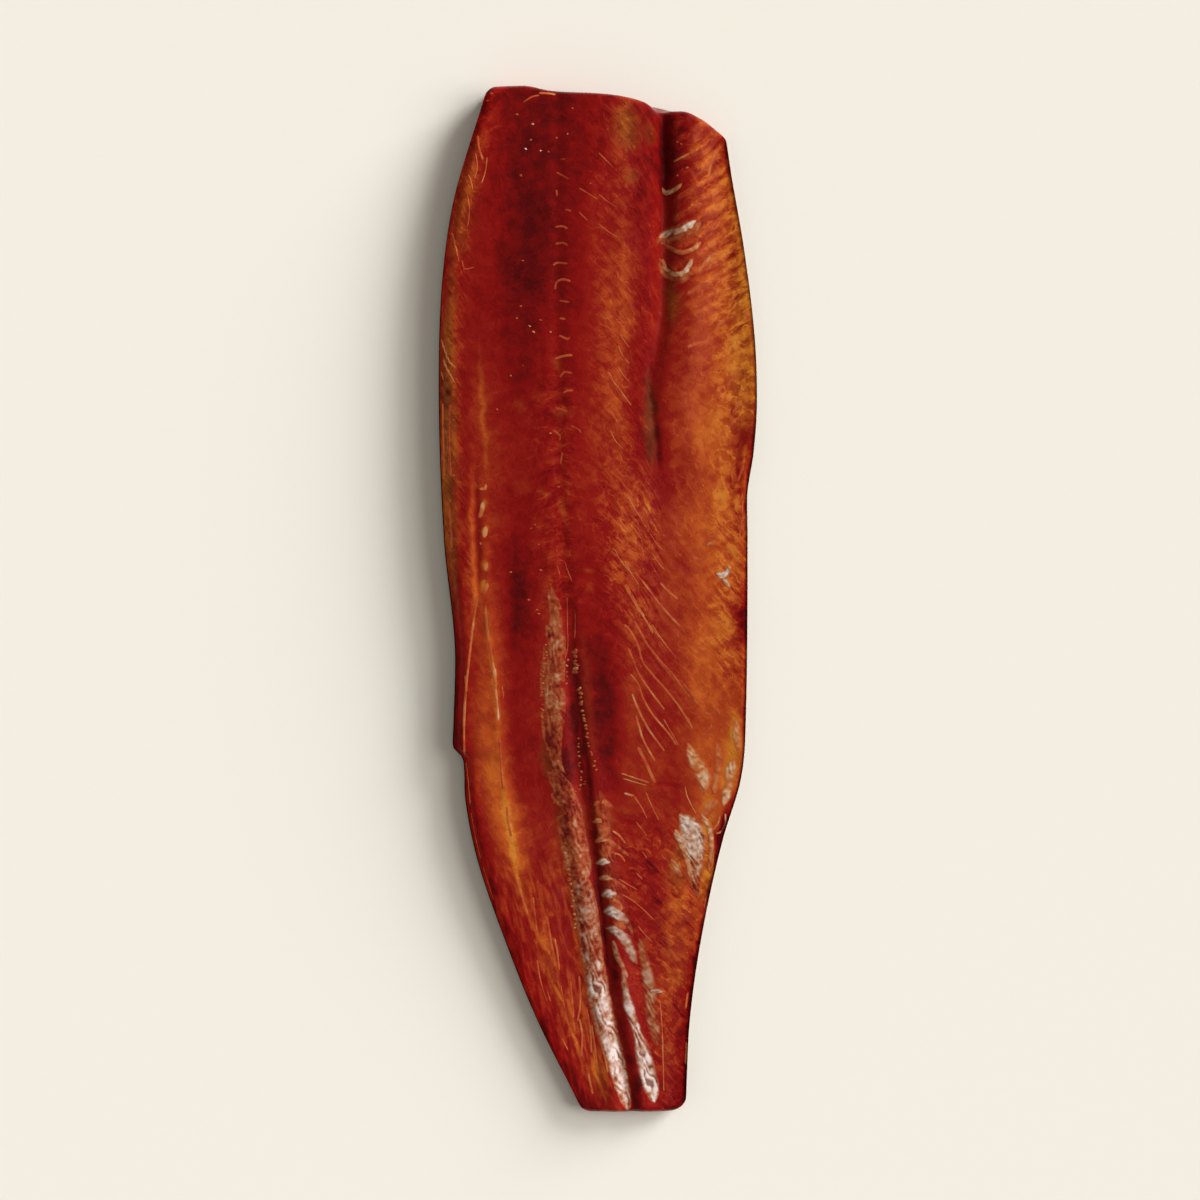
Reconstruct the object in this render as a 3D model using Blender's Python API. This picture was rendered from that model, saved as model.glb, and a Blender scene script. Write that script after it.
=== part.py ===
"""Cold-smoked side of fish: one trimmed fillet with its skin, lying skin down.

Metres, +Z up. +Y runs from the tail cut to the head cut, -X is the back of the fish
and +X its belly. The origin is on the table, under the middle of the bounding box.

The body is two surfaces over the same outline: a flesh side, highest along the loin,
and a skin side, flat where it rests and curling up at both long edges. Lengths in the
constants below are millimetres.
"""
import bpy
import numpy as np

MM = 0.001

# Outline, seen from above. The long edges are (y, x) pairs from tail to head, with the
# step of the trimmed fin root on the back edge. The cuts are (x, y) pairs, back to belly.
BACK_EDGE = (
    (-254, -11), (-214, -31), (-173, -47.5), (-132, -61.5), (-102, -67.5), (-81, -68.7),
    (-74, -74), (-61, -73.5), (-31, -72.7), (31, -78.4), (107, -81), (163, -79.2),
    (204, -73.3), (254, -58),
)
BELLY_EDGE = (
    (-250, 45), (-214, 46.8), (-173, 52.5), (-122, 63.6), (-92, 72.6), (-71, 75),
    (31, 76.2), (51, 76), (76, 79.4), (102, 81), (132, 80), (183, 73.8), (214, 68.2),
    (230, 65.6),
)
HEAD_CUT = (
    (-58, 254), (-56.5, 257.5), (-52, 259.8), (-38, 260), (-25, 257.5), (12, 255),
    (24, 252), (31.5, 247.8), (42, 248), (52, 244.5), (60.5, 238.5), (65, 234),
    (65.6, 230),
)
TAIL_CUT = (
    (-11, -254), (-8, -258.5), (-3, -260), (33, -260), (41, -258.5), (44.3, -255),
    (45, -250),
)

# Lines that run the length of the side, as (y, x) pairs: the row of cut pin bones down
# the middle, and the fold between the loin and the belly flap.
BONE_LINE = ((-260, 17), (-200, 6.5), (-140, -2), (-80, -10.5), (0, -16), (80, -20), (260, -20.5))
BELLY_FOLD = ((40, 33), (100, 27), (155, 33), (215, 33.5), (260, 31))

# Height of the loin's crown along the side, as (y, z) pairs, and how much of that height
# is left at the belly edge.
CROWN = ((-260, 11), (-200, 13.5), (-110, 19.5), (0, 24.5), (120, 26), (210, 25), (260, 23.5))
BELLY_SHARE = ((-260, 0.8), (-150, 0.62), (-50, 0.42), (60, 0.34), (260, 0.36))
BACK_SHARE = 0.74
CROWN_PLACE = 0.33

# Each long edge is rounded over a band as wide as this share of the crown, and is widest
# at this share of its height.
BACK_ROUND = 0.34
BELLY_ROUND = 0.2
WIDEST = 0.38
CUT_ROUND = 3.0

# The bone line is a shallow valley that deepens between two ridges towards the tail.
BONE_VALLEY = 0.7
TAIL_VALLEY = 1.6
TAIL_RIDGE = 1.5
RIDGE_OFFSET = 7.5
RIDGE_WIDTH = 5.0

# The belly fold is deepest near the head cut, with the flap swelling beside it.
FOLD_DEPTH = 4.5
FOLD_WIDTH = 4.5
FLAP_SWELL = 2.5
FLAP_OFFSET = 15.0
FLAP_WIDTH = 10.0

# Cells of the grid: along the side, across it, and round each rounded edge.
CELLS_ALONG = 60
CELLS_ACROSS = 24
CELLS_ROUND = 4
CELLS_CUT = 2

FLESH_COLOUR = (0.31, 0.045, 0.012)


def curve_through(points, where):
    """Cubic curve through (place, value) pairs, with slopes kept low enough not to overshoot."""
    place, value = np.array(points, float).T
    step = np.diff(place)
    rise = np.diff(value) / step
    before = np.insert(rise, 0, rise[0])
    after = np.append(rise, rise[-1])
    limit = 3.0 * np.minimum(np.abs(before), np.abs(after))
    slope = np.where(before * after > 0, np.clip(0.5 * (before + after), -limit, limit), 0.0)
    left = np.clip(np.searchsorted(place, where) - 1, 0, len(step) - 1)
    u = (where - place[left]) / step[left]
    from_left = (1 + 2 * u) * (1 - u) ** 2 * value[left] + u * (1 - u) ** 2 * step[left] * slope[left]
    from_right = u * u * (3 - 2 * u) * value[left + 1] - u * u * (1 - u) * step[left] * slope[left + 1]
    return from_left + from_right


def cut_line(points, share):
    """Point at a share of the way along a cut, from the back to the belly."""
    corner = np.array(points, float)
    run = np.concatenate(([0.0], np.cumsum(np.hypot(*np.diff(corner, axis=0).T))))
    run /= run[-1]
    x = curve_through(np.column_stack((run, corner[:, 0])), share)
    y = curve_through(np.column_stack((run, corner[:, 1])), share)
    return x, y


def long_edge(points, share):
    """Point at a share of the way along a long edge, from the tail to the head."""
    y = points[0][0] + share * (points[-1][0] - points[0][0])
    return curve_through(points, y), y


def outline_patch(along, across):
    """Plan position: the four outline curves blended, less the corners counted twice (Coons)."""
    edges = zip(
        long_edge(BACK_EDGE, along), long_edge(BELLY_EDGE, along),
        cut_line(TAIL_CUT, across), cut_line(HEAD_CUT, across),
        zip(TAIL_CUT[0], TAIL_CUT[-1]), zip(HEAD_CUT[0], HEAD_CUT[-1]),
    )
    place = []
    for back, belly, tail, head, tail_corners, head_corners in edges:
        sides = (1 - across) * back + across * belly
        cuts = (1 - along) * tail + along * head
        tail_row = (1 - across) * tail_corners[0] + across * tail_corners[1]
        head_row = (1 - across) * head_corners[0] + across * head_corners[1]
        place.append(sides + cuts - (1 - along) * tail_row - along * head_row)
    return place


def edge_rise(inset, reach):
    """Quarter ellipse: 0 at an edge, 1 from 'reach' inwards."""
    return np.sqrt(1 - (1 - np.clip(inset / reach, 0, 1)) ** 2)


def hump(distance, width):
    """Bell curve, 1 on its line."""
    return np.exp(-(distance / width) ** 2)


def ramp(value, start, end):
    """Smooth step from 0 at start to 1 at end."""
    u = np.clip((value - start) / (end - start), 0, 1)
    return u * u * (3 - 2 * u)


def thickness(x, y, across):
    """Height of the flesh before its edges are rounded.

    A parabola from the back to the crown and a cosine from the crown to the belly, then
    the bone line, the two tail ridges, the belly fold and the swelling of the flap.
    """
    crown = curve_through(CROWN, y)
    belly_share = curve_through(BELLY_SHARE, y)
    to_back = np.clip(1 - across / CROWN_PLACE, 0, 1)
    to_belly = np.clip((across - CROWN_PLACE) / (1 - CROWN_PLACE), 0, 1)
    height = crown * (1 - (1 - BACK_SHARE) * to_back ** 2)
    height *= 1 - (1 - belly_share) * 0.5 * (1 - np.cos(np.pi * to_belly))

    off_bone = x - curve_through(BONE_LINE, y)
    tailward = ramp(-y, -10, 150)
    height -= (BONE_VALLEY + (TAIL_VALLEY - BONE_VALLEY) * tailward) * hump(off_bone, 3.5)
    for side in (-RIDGE_OFFSET, RIDGE_OFFSET):
        height += TAIL_RIDGE * tailward * hump(off_bone - side, RIDGE_WIDTH)

    off_fold = x - curve_through(BELLY_FOLD, np.clip(y, BELLY_FOLD[0][0], BELLY_FOLD[-1][0]))
    headward = ramp(y, 40, 210)
    height -= FOLD_DEPTH * headward * hump(off_fold, FOLD_WIDTH)
    height += FLAP_SWELL * headward * hump(off_fold - FLAP_OFFSET, FLAP_WIDTH)
    return height


def grid_shares(length, reach_start, reach_end, cells, cells_start, cells_end):
    """Shares of a length, close together on the rounded ends: equal angles, then equal steps."""
    start = reach_start / length * (1 - np.cos(np.linspace(0, np.pi / 2, cells_start + 1)))
    end = 1 - reach_end / length * (1 - np.cos(np.linspace(np.pi / 2, 0, cells_end + 1)))
    middle = np.linspace(0, 1, cells + 1)[1:-1]
    middle = start[..., -1:] + middle * (end[..., :1] - start[..., -1:])
    return np.concatenate((start, middle, end), axis=-1)


def side_surfaces():
    """Flesh side and skin side, as two grids of points that share their long edges."""
    along = grid_shares(2 * BACK_EDGE[-1][0], CUT_ROUND, CUT_ROUND, CELLS_ALONG, CELLS_CUT, CELLS_CUT)
    along = along[:, None]
    back_x, back_y = long_edge(BACK_EDGE, along)
    belly_x, belly_y = long_edge(BELLY_EDGE, along)
    width = np.hypot(belly_x - back_x, belly_y - back_y)
    crown = curve_through(CROWN, back_y)
    reach_back = BACK_ROUND * crown
    reach_belly = BELLY_ROUND * crown
    across = grid_shares(width, reach_back, reach_belly, CELLS_ACROSS, CELLS_ROUND, CELLS_ROUND)

    x, y = outline_patch(along, across)
    height = thickness(x, y, across)
    rise = edge_rise(across * width, reach_back) * edge_rise((1 - across) * width, reach_belly)
    widest = WIDEST * height
    flesh = widest + (height - widest) * rise
    from_cut = np.minimum(along, 1 - along) * 2 * BACK_EDGE[-1][0]
    flesh -= CUT_ROUND * (1 - edge_rise(from_cut, CUT_ROUND)) * rise
    skin = widest * (1 - rise)
    return np.stack((x, y, flesh), -1), np.stack((x, y, skin), -1)


def grid_cells(ids):
    """Four corners of every cell of a grid of point numbers."""
    corners = (ids[:-1, :-1], ids[:-1, 1:], ids[1:, 1:], ids[1:, :-1])
    return np.stack(corners, -1).reshape(-1, 4)


def build_side():
    """One closed body: flesh side, skin side and the two cut faces."""
    flesh, skin = side_surfaces()
    rows, columns = flesh.shape[:2]
    top = np.arange(rows * columns).reshape(rows, columns)
    bottom = top.copy()
    bottom[:, 1:-1] = rows * columns + np.arange(rows * (columns - 2)).reshape(rows, -1)
    points = np.concatenate((flesh.reshape(-1, 3), skin[:, 1:-1].reshape(-1, 3))) * MM

    tail_face = grid_cells(np.stack((bottom[0], top[0])))
    head_face = grid_cells(np.stack((top[-1], bottom[-1])))
    cells = np.concatenate((grid_cells(top), grid_cells(bottom)[:, ::-1], tail_face, head_face))
    faces = [tuple(dict.fromkeys(cell)) for cell in cells.tolist()]

    mesh = bpy.data.meshes.new("smoked_side")
    mesh.from_pydata(points.tolist(), [], faces)
    mesh.shade_smooth()
    mesh.set_sharp_from_angle(angle=np.radians(50))
    side = bpy.data.objects.new("smoked_side", mesh)
    bpy.context.scene.collection.objects.link(side)
    return side


def smoked_flesh():
    """Deep red-orange flesh under a glossy dried surface."""
    material = bpy.data.materials.new("smoked_flesh")
    material.use_nodes = True
    shader = material.node_tree.nodes["Principled BSDF"]
    shader.inputs["Base Color"].default_value = (*FLESH_COLOUR, 1.0)
    shader.inputs["Roughness"].default_value = 0.35
    shader.inputs["Metallic"].default_value = 0.0
    return material


for item in list(bpy.data.objects):
    bpy.data.objects.remove(item)
smoked_side = build_side()
smoked_side.data.materials.append(smoked_flesh())
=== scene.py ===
# %% [markdown]
# # A cold-smoked side of salmon
#
# The object is half a fish: one fillet cut off the backbone, trimmed at both ends, salted
# and smoked cold until its surface dries to a glossy skin of its own. It lies skin down.
# The CAD frame gives its outline and its thickness. This file gives it its looks: the
# muscle blocks, the cut pin bones, the oily wrinkles over the tail, the skin underneath.
#
# Lengths are in millimetres until a mesh is made. +Y runs from tail to head, -X is the
# back of the fish and +X its belly.

# %% The frame
import bpy
import mathutils
import numpy as np
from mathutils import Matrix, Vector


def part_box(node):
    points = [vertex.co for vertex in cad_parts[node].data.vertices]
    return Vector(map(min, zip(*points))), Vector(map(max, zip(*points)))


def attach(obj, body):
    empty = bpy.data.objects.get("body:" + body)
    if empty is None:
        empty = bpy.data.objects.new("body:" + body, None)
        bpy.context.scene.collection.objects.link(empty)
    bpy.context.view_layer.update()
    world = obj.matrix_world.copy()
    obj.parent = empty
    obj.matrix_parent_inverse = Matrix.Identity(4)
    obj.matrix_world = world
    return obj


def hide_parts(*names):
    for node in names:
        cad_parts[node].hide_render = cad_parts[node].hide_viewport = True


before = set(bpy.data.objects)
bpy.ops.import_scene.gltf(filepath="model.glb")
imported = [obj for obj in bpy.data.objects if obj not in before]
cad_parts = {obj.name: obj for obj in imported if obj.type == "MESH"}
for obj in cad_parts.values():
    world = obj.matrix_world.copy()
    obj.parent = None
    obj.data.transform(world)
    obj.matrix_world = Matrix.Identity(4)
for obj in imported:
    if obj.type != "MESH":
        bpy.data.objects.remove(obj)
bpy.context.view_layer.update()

MM = 0.001
NODE = "smoked_side"
low, high = (np.array(corner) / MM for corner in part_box(NODE))
print(f"{NODE}: {high[0] - low[0]:.0f} x {high[1] - low[1]:.0f} x {high[2] - low[2]:.0f} mm")

# %% [markdown]
# ## Curves and fields
#
# A fish could be sculpted by hand, but a formula gives the same surface at any fineness, and
# one number changes it. Everything below is worked out as whole arrays. A line that runs
# along the fish is a few (place, value) pairs with a smooth curve through them. A field is a
# function of x and y that is read at every point of the surface at once.

# %% Curves and fields


def curve_through(points, where):
    """Cubic curve through (place, value) pairs, with slopes kept low enough not to overshoot."""
    place, value = np.array(points, float).T
    step = np.diff(place)
    rise = np.diff(value) / step
    before = np.insert(rise, 0, rise[0])
    after = np.append(rise, rise[-1])
    limit = 3.0 * np.minimum(np.abs(before), np.abs(after))
    slope = np.where(before * after > 0, np.clip(0.5 * (before + after), -limit, limit), 0.0)
    where = np.clip(where, place[0], place[-1])
    left = np.clip(np.searchsorted(place, where) - 1, 0, len(step) - 1)
    u = (where - place[left]) / step[left]
    from_left = (1 + 2 * u) * (1 - u) ** 2 * value[left] + u * (1 - u) ** 2 * step[left] * slope[left]
    from_right = u * u * (3 - 2 * u) * value[left + 1] - u * u * (1 - u) * step[left] * slope[left + 1]
    return from_left + from_right


def off(line, x, y):
    """How far a place lies beyond a line along the fish, towards the belly."""
    return x - curve_through(line, y)


def measured(points):
    """Corners as an array, and the distance run from the first corner to each of them."""
    corner = np.array(points, float)
    return corner, np.concatenate(([0.0], np.cumsum(np.hypot(*np.diff(corner[:, :2], axis=0).T))))


print("half way from 0 to 4 to 1:", curve_through(((0, 0), (1, 4), (2, 1)), np.array([0.5, 1.5])))

# %% Steps, humps and random fields


def ramp(value, start, end):
    """Smooth step from 0 at start to 1 at end."""
    u = np.clip((value - start) / (end - start), 0, 1)
    return u * u * (3 - 2 * u)


def hump(distance, width):
    """Bell curve exp(-(distance / width)^2): 1 on its line, about a third one width from it."""
    return np.exp(-(distance / width) ** 2)


def wander(x, y, size, seed):
    """Smooth random field from -1 to 1: a lattice of random numbers 'size' apart, blended."""
    cells = 256
    lattice = np.random.default_rng(seed).uniform(-1, 1, (cells, cells))
    gx, gy = x / size + 100.5, y / size + 100.5
    ix, iy = np.floor(gx).astype(int), np.floor(gy).astype(int)
    fx, fy = gx - ix, gy - iy
    fx, fy = fx * fx * (3 - 2 * fx), fy * fy * (3 - 2 * fy)
    a, b = lattice[iy % cells, ix % cells], lattice[iy % cells, (ix + 1) % cells]
    c, d = lattice[(iy + 1) % cells, ix % cells], lattice[(iy + 1) % cells, (ix + 1) % cells]
    return (a * (1 - fx) + b * fx) * (1 - fy) + (c * (1 - fx) + d * fx) * fy


def off_stroke(x, y, points):
    """Distance from every place to a stroke through (x, y) points, and the share along it."""
    corner, run = measured(points)
    nearest, share = np.full(np.shape(x), np.inf), np.zeros(np.shape(x))
    for (ax, ay), (bx, by), start, end in zip(corner[:-1], corner[1:], run[:-1], run[1:]):
        along = ((x - ax) * (bx - ax) + (y - ay) * (by - ay)) / (end - start) ** 2
        along = np.clip(along, 0, 1)
        distance = np.hypot(x - ax - along * (bx - ax), y - ay - along * (by - ay))
        share = np.where(distance < nearest, (start + along * (end - start)) / run[-1], share)
        nearest = np.minimum(nearest, distance)
    return nearest, share


def stroke(x, y, points, width):
    """A soft stroke: a bell curve across it, whose height and width follow an arc along it."""
    distance, share = off_stroke(x, y, points)
    taper = np.sqrt(np.clip(4 * share * (1 - share), 0.04, 1))
    return hump(distance, width * taper) * taper


some = wander(*np.meshgrid(np.arange(50.0), np.arange(50.0)), 10, 1)
print(f"a random field runs from {some.min():.2f} to {some.max():.2f}")

# %% [markdown]
# ## The outline and the thickness
#
# These are the same curves as in the CAD part: two long edges and two cuts, blended into a
# patch, and a height over it that is greatest along the loin. Repeating the construction,
# rather than reading the coarse CAD mesh, gives a smooth surface at any fineness.

# %% The outline and the thickness
# The long edges are (y, x) pairs from tail to head, the cuts (x, y) pairs from back to belly.
BACK_EDGE = (
    (-254, -11), (-214, -31), (-173, -47.5), (-132, -61.5), (-102, -67.5), (-81, -68.7),
    (-74, -74), (-61, -73.5), (-31, -72.7), (31, -78.4), (107, -81), (163, -79.2),
    (204, -73.3), (254, -58),
)
BELLY_EDGE = (
    (-250, 45), (-214, 46.8), (-173, 52.5), (-122, 63.6), (-92, 72.6), (-71, 75),
    (31, 76.2), (51, 76), (76, 79.4), (102, 81), (132, 80), (183, 73.8), (214, 68.2),
    (230, 65.6),
)
HEAD_CUT = (
    (-58, 254), (-56.5, 257.5), (-52, 259.8), (-38, 260), (-25, 257.5), (12, 255),
    (24, 252), (31.5, 247.8), (42, 248), (52, 244.5), (60.5, 238.5), (65, 234),
    (65.6, 230),
)
TAIL_CUT = (
    (-11, -254), (-8, -258.5), (-3, -260), (33, -260), (41, -258.5), (44.3, -255),
    (45, -250),
)
# Lines that run the length of the side, as (y, x) pairs: the cut pin bones, and the fold
# between the loin and the belly flap.
BONE_LINE = ((-260, 17), (-200, 6.5), (-140, -2), (-80, -10.5), (0, -16), (80, -20), (260, -20.5))
BELLY_FOLD = ((40, 33), (100, 27), (155, 33), (215, 33.5), (260, 31))
# Height of the loin's crown, as (y, z) pairs, how much of it is left at the two edges, and
# the crown's place across the side.
CROWN = ((-260, 11), (-200, 13.5), (-110, 19.5), (0, 24.5), (120, 26), (210, 25), (260, 23.5))
BELLY_SHARE = ((-260, 0.8), (-150, 0.62), (-50, 0.42), (60, 0.34), (260, 0.36))
BACK_SHARE, CROWN_PLACE = 0.74, 0.33
# The long edges are rounded over these shares of the crown and widest at this share of their
# height. The cuts are rounded over a length in mm, like everything below.
BACK_ROUND, BELLY_ROUND, WIDEST, CUT_ROUND = 0.34, 0.2, 0.38, 3.0
BONE_VALLEY, TAIL_VALLEY, TAIL_RIDGE, RIDGE_OFFSET, RIDGE_WIDTH = 0.7, 1.6, 1.5, 7.5, 5.0
FOLD_DEPTH, FOLD_WIDTH, FLAP_SWELL, FLAP_OFFSET, FLAP_WIDTH = 4.5, 4.5, 2.5, 15.0, 10.0
LENGTH = 2 * BACK_EDGE[-1][0]
print(f"{LENGTH} mm between the ends of the back edge, crown {CROWN[0][1]} to {CROWN[4][1]} mm high")

# %% The outline in plan


def cut_line(points, share):
    """Point at a share of the way along a cut, from the back to the belly."""
    corner, run = measured(points)
    run /= run[-1]
    x = curve_through(np.column_stack((run, corner[:, 0])), share)
    y = curve_through(np.column_stack((run, corner[:, 1])), share)
    return x, y


def long_edge(points, share):
    """Point at a share of the way along a long edge, from the tail to the head."""
    y = points[0][0] + share * (points[-1][0] - points[0][0])
    return curve_through(points, y), y


def outline_patch(along, across):
    """Plan position: the four outline curves blended, less the corners counted twice (Coons)."""
    edges = zip(
        long_edge(BACK_EDGE, along), long_edge(BELLY_EDGE, along),
        cut_line(TAIL_CUT, across), cut_line(HEAD_CUT, across),
        zip(TAIL_CUT[0], TAIL_CUT[-1]), zip(HEAD_CUT[0], HEAD_CUT[-1]),
    )
    place = []
    for back, belly, tail, head, tail_corners, head_corners in edges:
        sides = (1 - across) * back + across * belly
        cuts = (1 - along) * tail + along * head
        tail_row = (1 - across) * tail_corners[0] + across * tail_corners[1]
        head_row = (1 - across) * head_corners[0] + across * head_corners[1]
        place.append(sides + cuts - (1 - along) * tail_row - along * head_row)
    return place


def width_at(along):
    """Width of the side at a share of its length: from one long edge to the other."""
    back_x, back_y = long_edge(BACK_EDGE, along)
    belly_x, belly_y = long_edge(BELLY_EDGE, along)
    return np.hypot(belly_x - back_x, belly_y - back_y)


print(f"width at the tail, the middle and the head: {width_at(np.array([0, 0.5, 1])).round()} mm")

# %% The height over the plan


def edge_rise(inset, reach):
    """Quarter ellipse: 0 at an edge, 1 from 'reach' inwards."""
    return np.sqrt(1 - (1 - np.clip(inset / reach, 0, 1)) ** 2)


def thickness(x, y, across):
    """Height of the flesh before its edges are rounded, as in the CAD part.

    A parabola from the back to the crown and a cosine from the crown to the belly, then the
    valley of the bone line, the two tail ridges, the belly fold and the swelling of the flap.
    """
    crown = curve_through(CROWN, y)
    belly_share = curve_through(BELLY_SHARE, y)
    to_back = np.clip(1 - across / CROWN_PLACE, 0, 1)
    to_belly = np.clip((across - CROWN_PLACE) / (1 - CROWN_PLACE), 0, 1)
    height = crown * (1 - (1 - BACK_SHARE) * to_back ** 2)
    height *= 1 - (1 - belly_share) * 0.5 * (1 - np.cos(np.pi * to_belly))
    off_bone = off(BONE_LINE, x, y)
    tailward = ramp(-y, -10, 150)
    height -= (BONE_VALLEY + (TAIL_VALLEY - BONE_VALLEY) * tailward) * hump(off_bone, 3.5)
    for side in (-RIDGE_OFFSET, RIDGE_OFFSET):
        height += TAIL_RIDGE * tailward * hump(off_bone - side, RIDGE_WIDTH)
    off_fold = off(BELLY_FOLD, x, y)
    headward = ramp(y, 40, 210)
    height -= FOLD_DEPTH * headward * hump(off_fold, FOLD_WIDTH)
    height += FLAP_SWELL * headward * hump(off_fold - FLAP_OFFSET, FLAP_WIDTH)
    return height


def grid_shares(length, reach_start, reach_end, cells, cells_start, cells_end):
    """Shares of a length, close together on the rounded ends: equal angles, then equal steps."""
    start = reach_start / length * (1 - np.cos(np.linspace(0, np.pi / 2, cells_start + 1)))
    end = 1 - reach_end / length * (1 - np.cos(np.linspace(np.pi / 2, 0, cells_end + 1)))
    middle = np.linspace(0, 1, cells + 1)[1:-1]
    middle = start[..., -1:] + middle * (end[..., :1] - start[..., -1:])
    return np.concatenate((start, middle, end), axis=-1)


loin = thickness(np.full(3, -38.0), np.array([-250.0, 0.0, 250.0]), np.full(3, CROWN_PLACE))
print(f"flesh on the loin at the tail, the middle and the head: {loin.round(1)} mm")

# %% [markdown]
# ## The muscle blocks
#
# A salmon's flesh is a row of thin blocks, one for each vertebra, parted by sheets of
# pale tissue. On the cut face the sheets show as fine lines. Right of the bone line they
# leave it almost square and sweep back towards the tail. On the belly flap they turn
# round and climb towards the edge, and along the back they fold into narrow chevrons.
# They could be drawn one by one, but one field that numbers the blocks does more: its whole
# numbers are the sheets, so colour and relief can both follow the same anatomy.

# %% The muscle blocks
BLOCK = 8.8                               # mm along the side
CHEVRON = 42                              # mm off the bone line, where the sheets turn round


def sweep(x, y):
    """How far the sheet through a place has fallen tailwards since it left the bone line.

    Towards the belly it falls with the square of the distance. Beyond the fold it falls in
    proportion, and near the head it climbs instead. On the back it falls and turns round.
    """
    off_bone = off(BONE_LINE, x, y)
    belly_side = np.clip(off_bone, 0, None)
    fold = curve_through(BELLY_FOLD, y) - curve_through(BONE_LINE, y)
    before_fold = np.minimum(belly_side, fold)
    beyond_fold = np.clip(belly_side - fold, 0, None)
    turn = ramp(y, 30, 150)
    fall = before_fold ** 2 / 52 + beyond_fold * (1.15 - 1.85 * turn)
    back_side = np.clip(-off_bone, 0, None)
    chevron = np.minimum(back_side, CHEVRON) * 0.35 - np.clip(back_side - CHEVRON, 0, None) * 1.6
    return fall + chevron


def block_number(x, y):
    """Blocks counted from the tail; whole numbers lie on the sheets between blocks."""
    wobble = 0.18 * wander(x, y, 22, 3) + 0.1 * wander(x, y, 7, 4)
    return (y + sweep(x, y)) / BLOCK + wobble


ends = block_number(np.array([10.0, -20.0]), np.array([-255.0, 255.0]))
print(f"{ends[1] - ends[0]:.0f} blocks of {BLOCK} mm from cut to cut")

# %% [markdown]
# ## Colour of the flesh
#
# Smoke and salt turn salmon anything from wine red to amber. How light it is depends on
# which muscle it is and how much fat it holds: the loin is lean and dark, the belly fat
# and orange. So the colour starts from one number, the tone: 0 is the darkest wine red and
# 1 is amber. Each band below is a strip that runs along the side, given by (y, x, tone)
# at a few stations from tail to head. Between two bands the tone blends. A painted image
# would do as well, but these few numbers stay sharp at any size and can be moved.

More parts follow.
